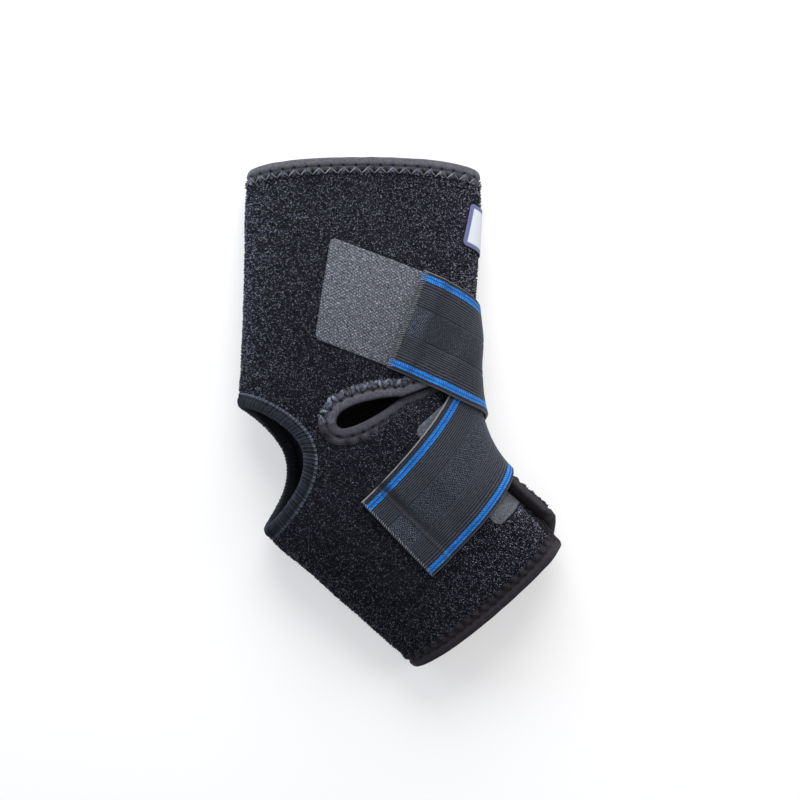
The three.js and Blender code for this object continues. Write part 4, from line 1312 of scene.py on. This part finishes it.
def eye_share(run):
    """1 along the upper lip of the slit, less along its lower lip, 0 elsewhere. Where it sets a tone it is painted
    light, and the lower lip's lesser share is painted shade under the upper lip and strap.
    """
    edge = EDGES["front"]
    u, t = edge.at(run, edge.u), edge.at(run, edge.t)
    beside = np.exp(-(((u - SLIT_STATION) / 1.3) ** 4)) * (t > 0)
    return beside * np.where(u < SLIT_STATION, 1.0, 0.45)


# Painted light on the front tape: the slit's lips lit, the foot opening and the rest of the edge in painted shade.
def front_level(run):
    return 0.10 + 0.79 * eye_share(run)


def fuzz(run):
    """Pile over the flange: along the lips of the slit, and less at the foot opening. The same level is painted light
    on that pile, as eye_share is.
    """
    edge = EDGES["front"]
    foot_end = ease(edge.at(run, edge.u) - (LAST_STATION - 2.2))
    return np.maximum(eye_share(run), 0.42 * foot_end)


def all_round(run):
    return 1.0 + 0 * run


sleeve()
tape("leg_edge_tape", EDGES["leg"], LEG_TAPE, "leg_binding", LEG_PITCH, 0.35, 6.6)
tape("heel_edge_tape", EDGES["heel"], HEEL_TAPE, "heel_binding", HEEL_PITCH, 0.0, HEEL_BAND)
tape("front_edge_tape", EDGES["front"], FRONT_TAPE, "front_binding", FRONT_PITCH, 0.7, 7.2, front_level)
straps_and_tabs()
zigzag("leg_stitches", EDGES["leg"], 4.3, 7.3, LEG_PITCH, 0.2, 0.3, HIGH + 0.15, 0.95, 0.35)
overlock("heel_stitches", EDGES["heel"], 0.9, 0.32)
lobes("front_stitches", EDGES["front"], 4.0, 7.9, FRONT_PITCH, 1.4, HIGH - 0.45, eye_share, 0.5)
edge_pile("leg_edge_pile", EDGES["leg"], 3.9, 7.4, LEG_PITCH, 0.4, 0.6, 41, all_round)
edge_pile("front_edge_pile", EDGES["front"], 4.6, 8.0, FRONT_PITCH, 0.5, 0.62, 43, fuzz)
pile("cuff_top_pile", CUFF, 11, NEAR_STEP, True, last=CUFF_PARTED)
pile("cuff_pile", CUFF, 12, NEAR_STEP, True, first=CUFF_PARTED)
pile("cuff_far_pile", CUFF, 13, FAR_STEP, False)
pile("foot_pile", FOOT, 23, NEAR_STEP, True)
pile("foot_far_pile", FOOT, 29, FAR_STEP, False)


# Stage, light and camera, in metres.
FLOOR_REACH = 3.0
CAMERA_HEIGHT, VIEW_WIDTH, SENSOR = 1.25, 0.4, 36
def stage():
    g = Graph("floor", 0.9, 0.0, 0.0)
    tint = g.ramp(g.noise(3, 2), (0.3, (0.36, 0.36, 0.36)), (0.7, (0.38, 0.38, 0.38)))
    g.set(g.bsdf, {"Emission Color": (1.0, 1.0, 1.01, 1), "Emission Strength": 0.45})
    mesh = bpy.data.meshes.new("floor")
    r = FLOOR_REACH
    mesh.from_pydata([(-r, -r, 0), (r, -r, 0), (r, r, 0), (-r, r, 0)], [], [(0, 1, 2, 3)])
    mesh.materials.append(g.finish(tint))
    floor = bpy.data.objects.new("floor", mesh)
    bpy.context.scene.collection.objects.link(floor)


def lamp(name, place, target, size, power, colour):
    light = bpy.data.lights.new(name, "AREA")
    light.shape = "DISK"
    light.size = size
    light.energy = power
    light.color = colour
    thing = bpy.data.objects.new(name, light)
    thing.location = place
    direction = Vector(target) - Vector(place)
    thing.rotation_euler = direction.to_track_quat("-Z", "Y").to_euler()
    bpy.context.scene.collection.objects.link(thing)


def light_and_camera():
    scene = bpy.context.scene
    world = bpy.data.worlds.new("studio")
    world.use_nodes = True
    background = world.node_tree.nodes["Background"].inputs
    background[0].default_value = (0.97, 0.98, 1.0, 1)
    background[1].default_value = 0.62
    scene.world = world
    lamp("key", (0.04, 0.80, 0.45), (0, 0, 0), 0.9, 20.0, (1.0, 0.99, 0.98))
    lamp("left", (-0.80, 0.35, 0.35), (0, 0.02, 0.02), 0.6, 5.0, (0.72, 0.85, 1.0))
    lamp("right", (0.80, 0.15, 0.40), (0, 0, 0.02), 0.6, 3.0, (1.0, 0.97, 1.0))
    data = bpy.data.cameras.new("camera")
    data.sensor_width = SENSOR
    data.lens = SENSOR * CAMERA_HEIGHT / VIEW_WIDTH
    data.dof.use_dof = False
    camera = bpy.data.objects.new("camera", data)
    camera.location = (0.00014, 0.00631, 0.02 + CAMERA_HEIGHT)
    camera.rotation_euler = (0, 0, 0)
    scene.collection.objects.link(camera)
    scene.camera = camera
    scene.view_settings.view_transform = "Standard"


stage()
light_and_camera()

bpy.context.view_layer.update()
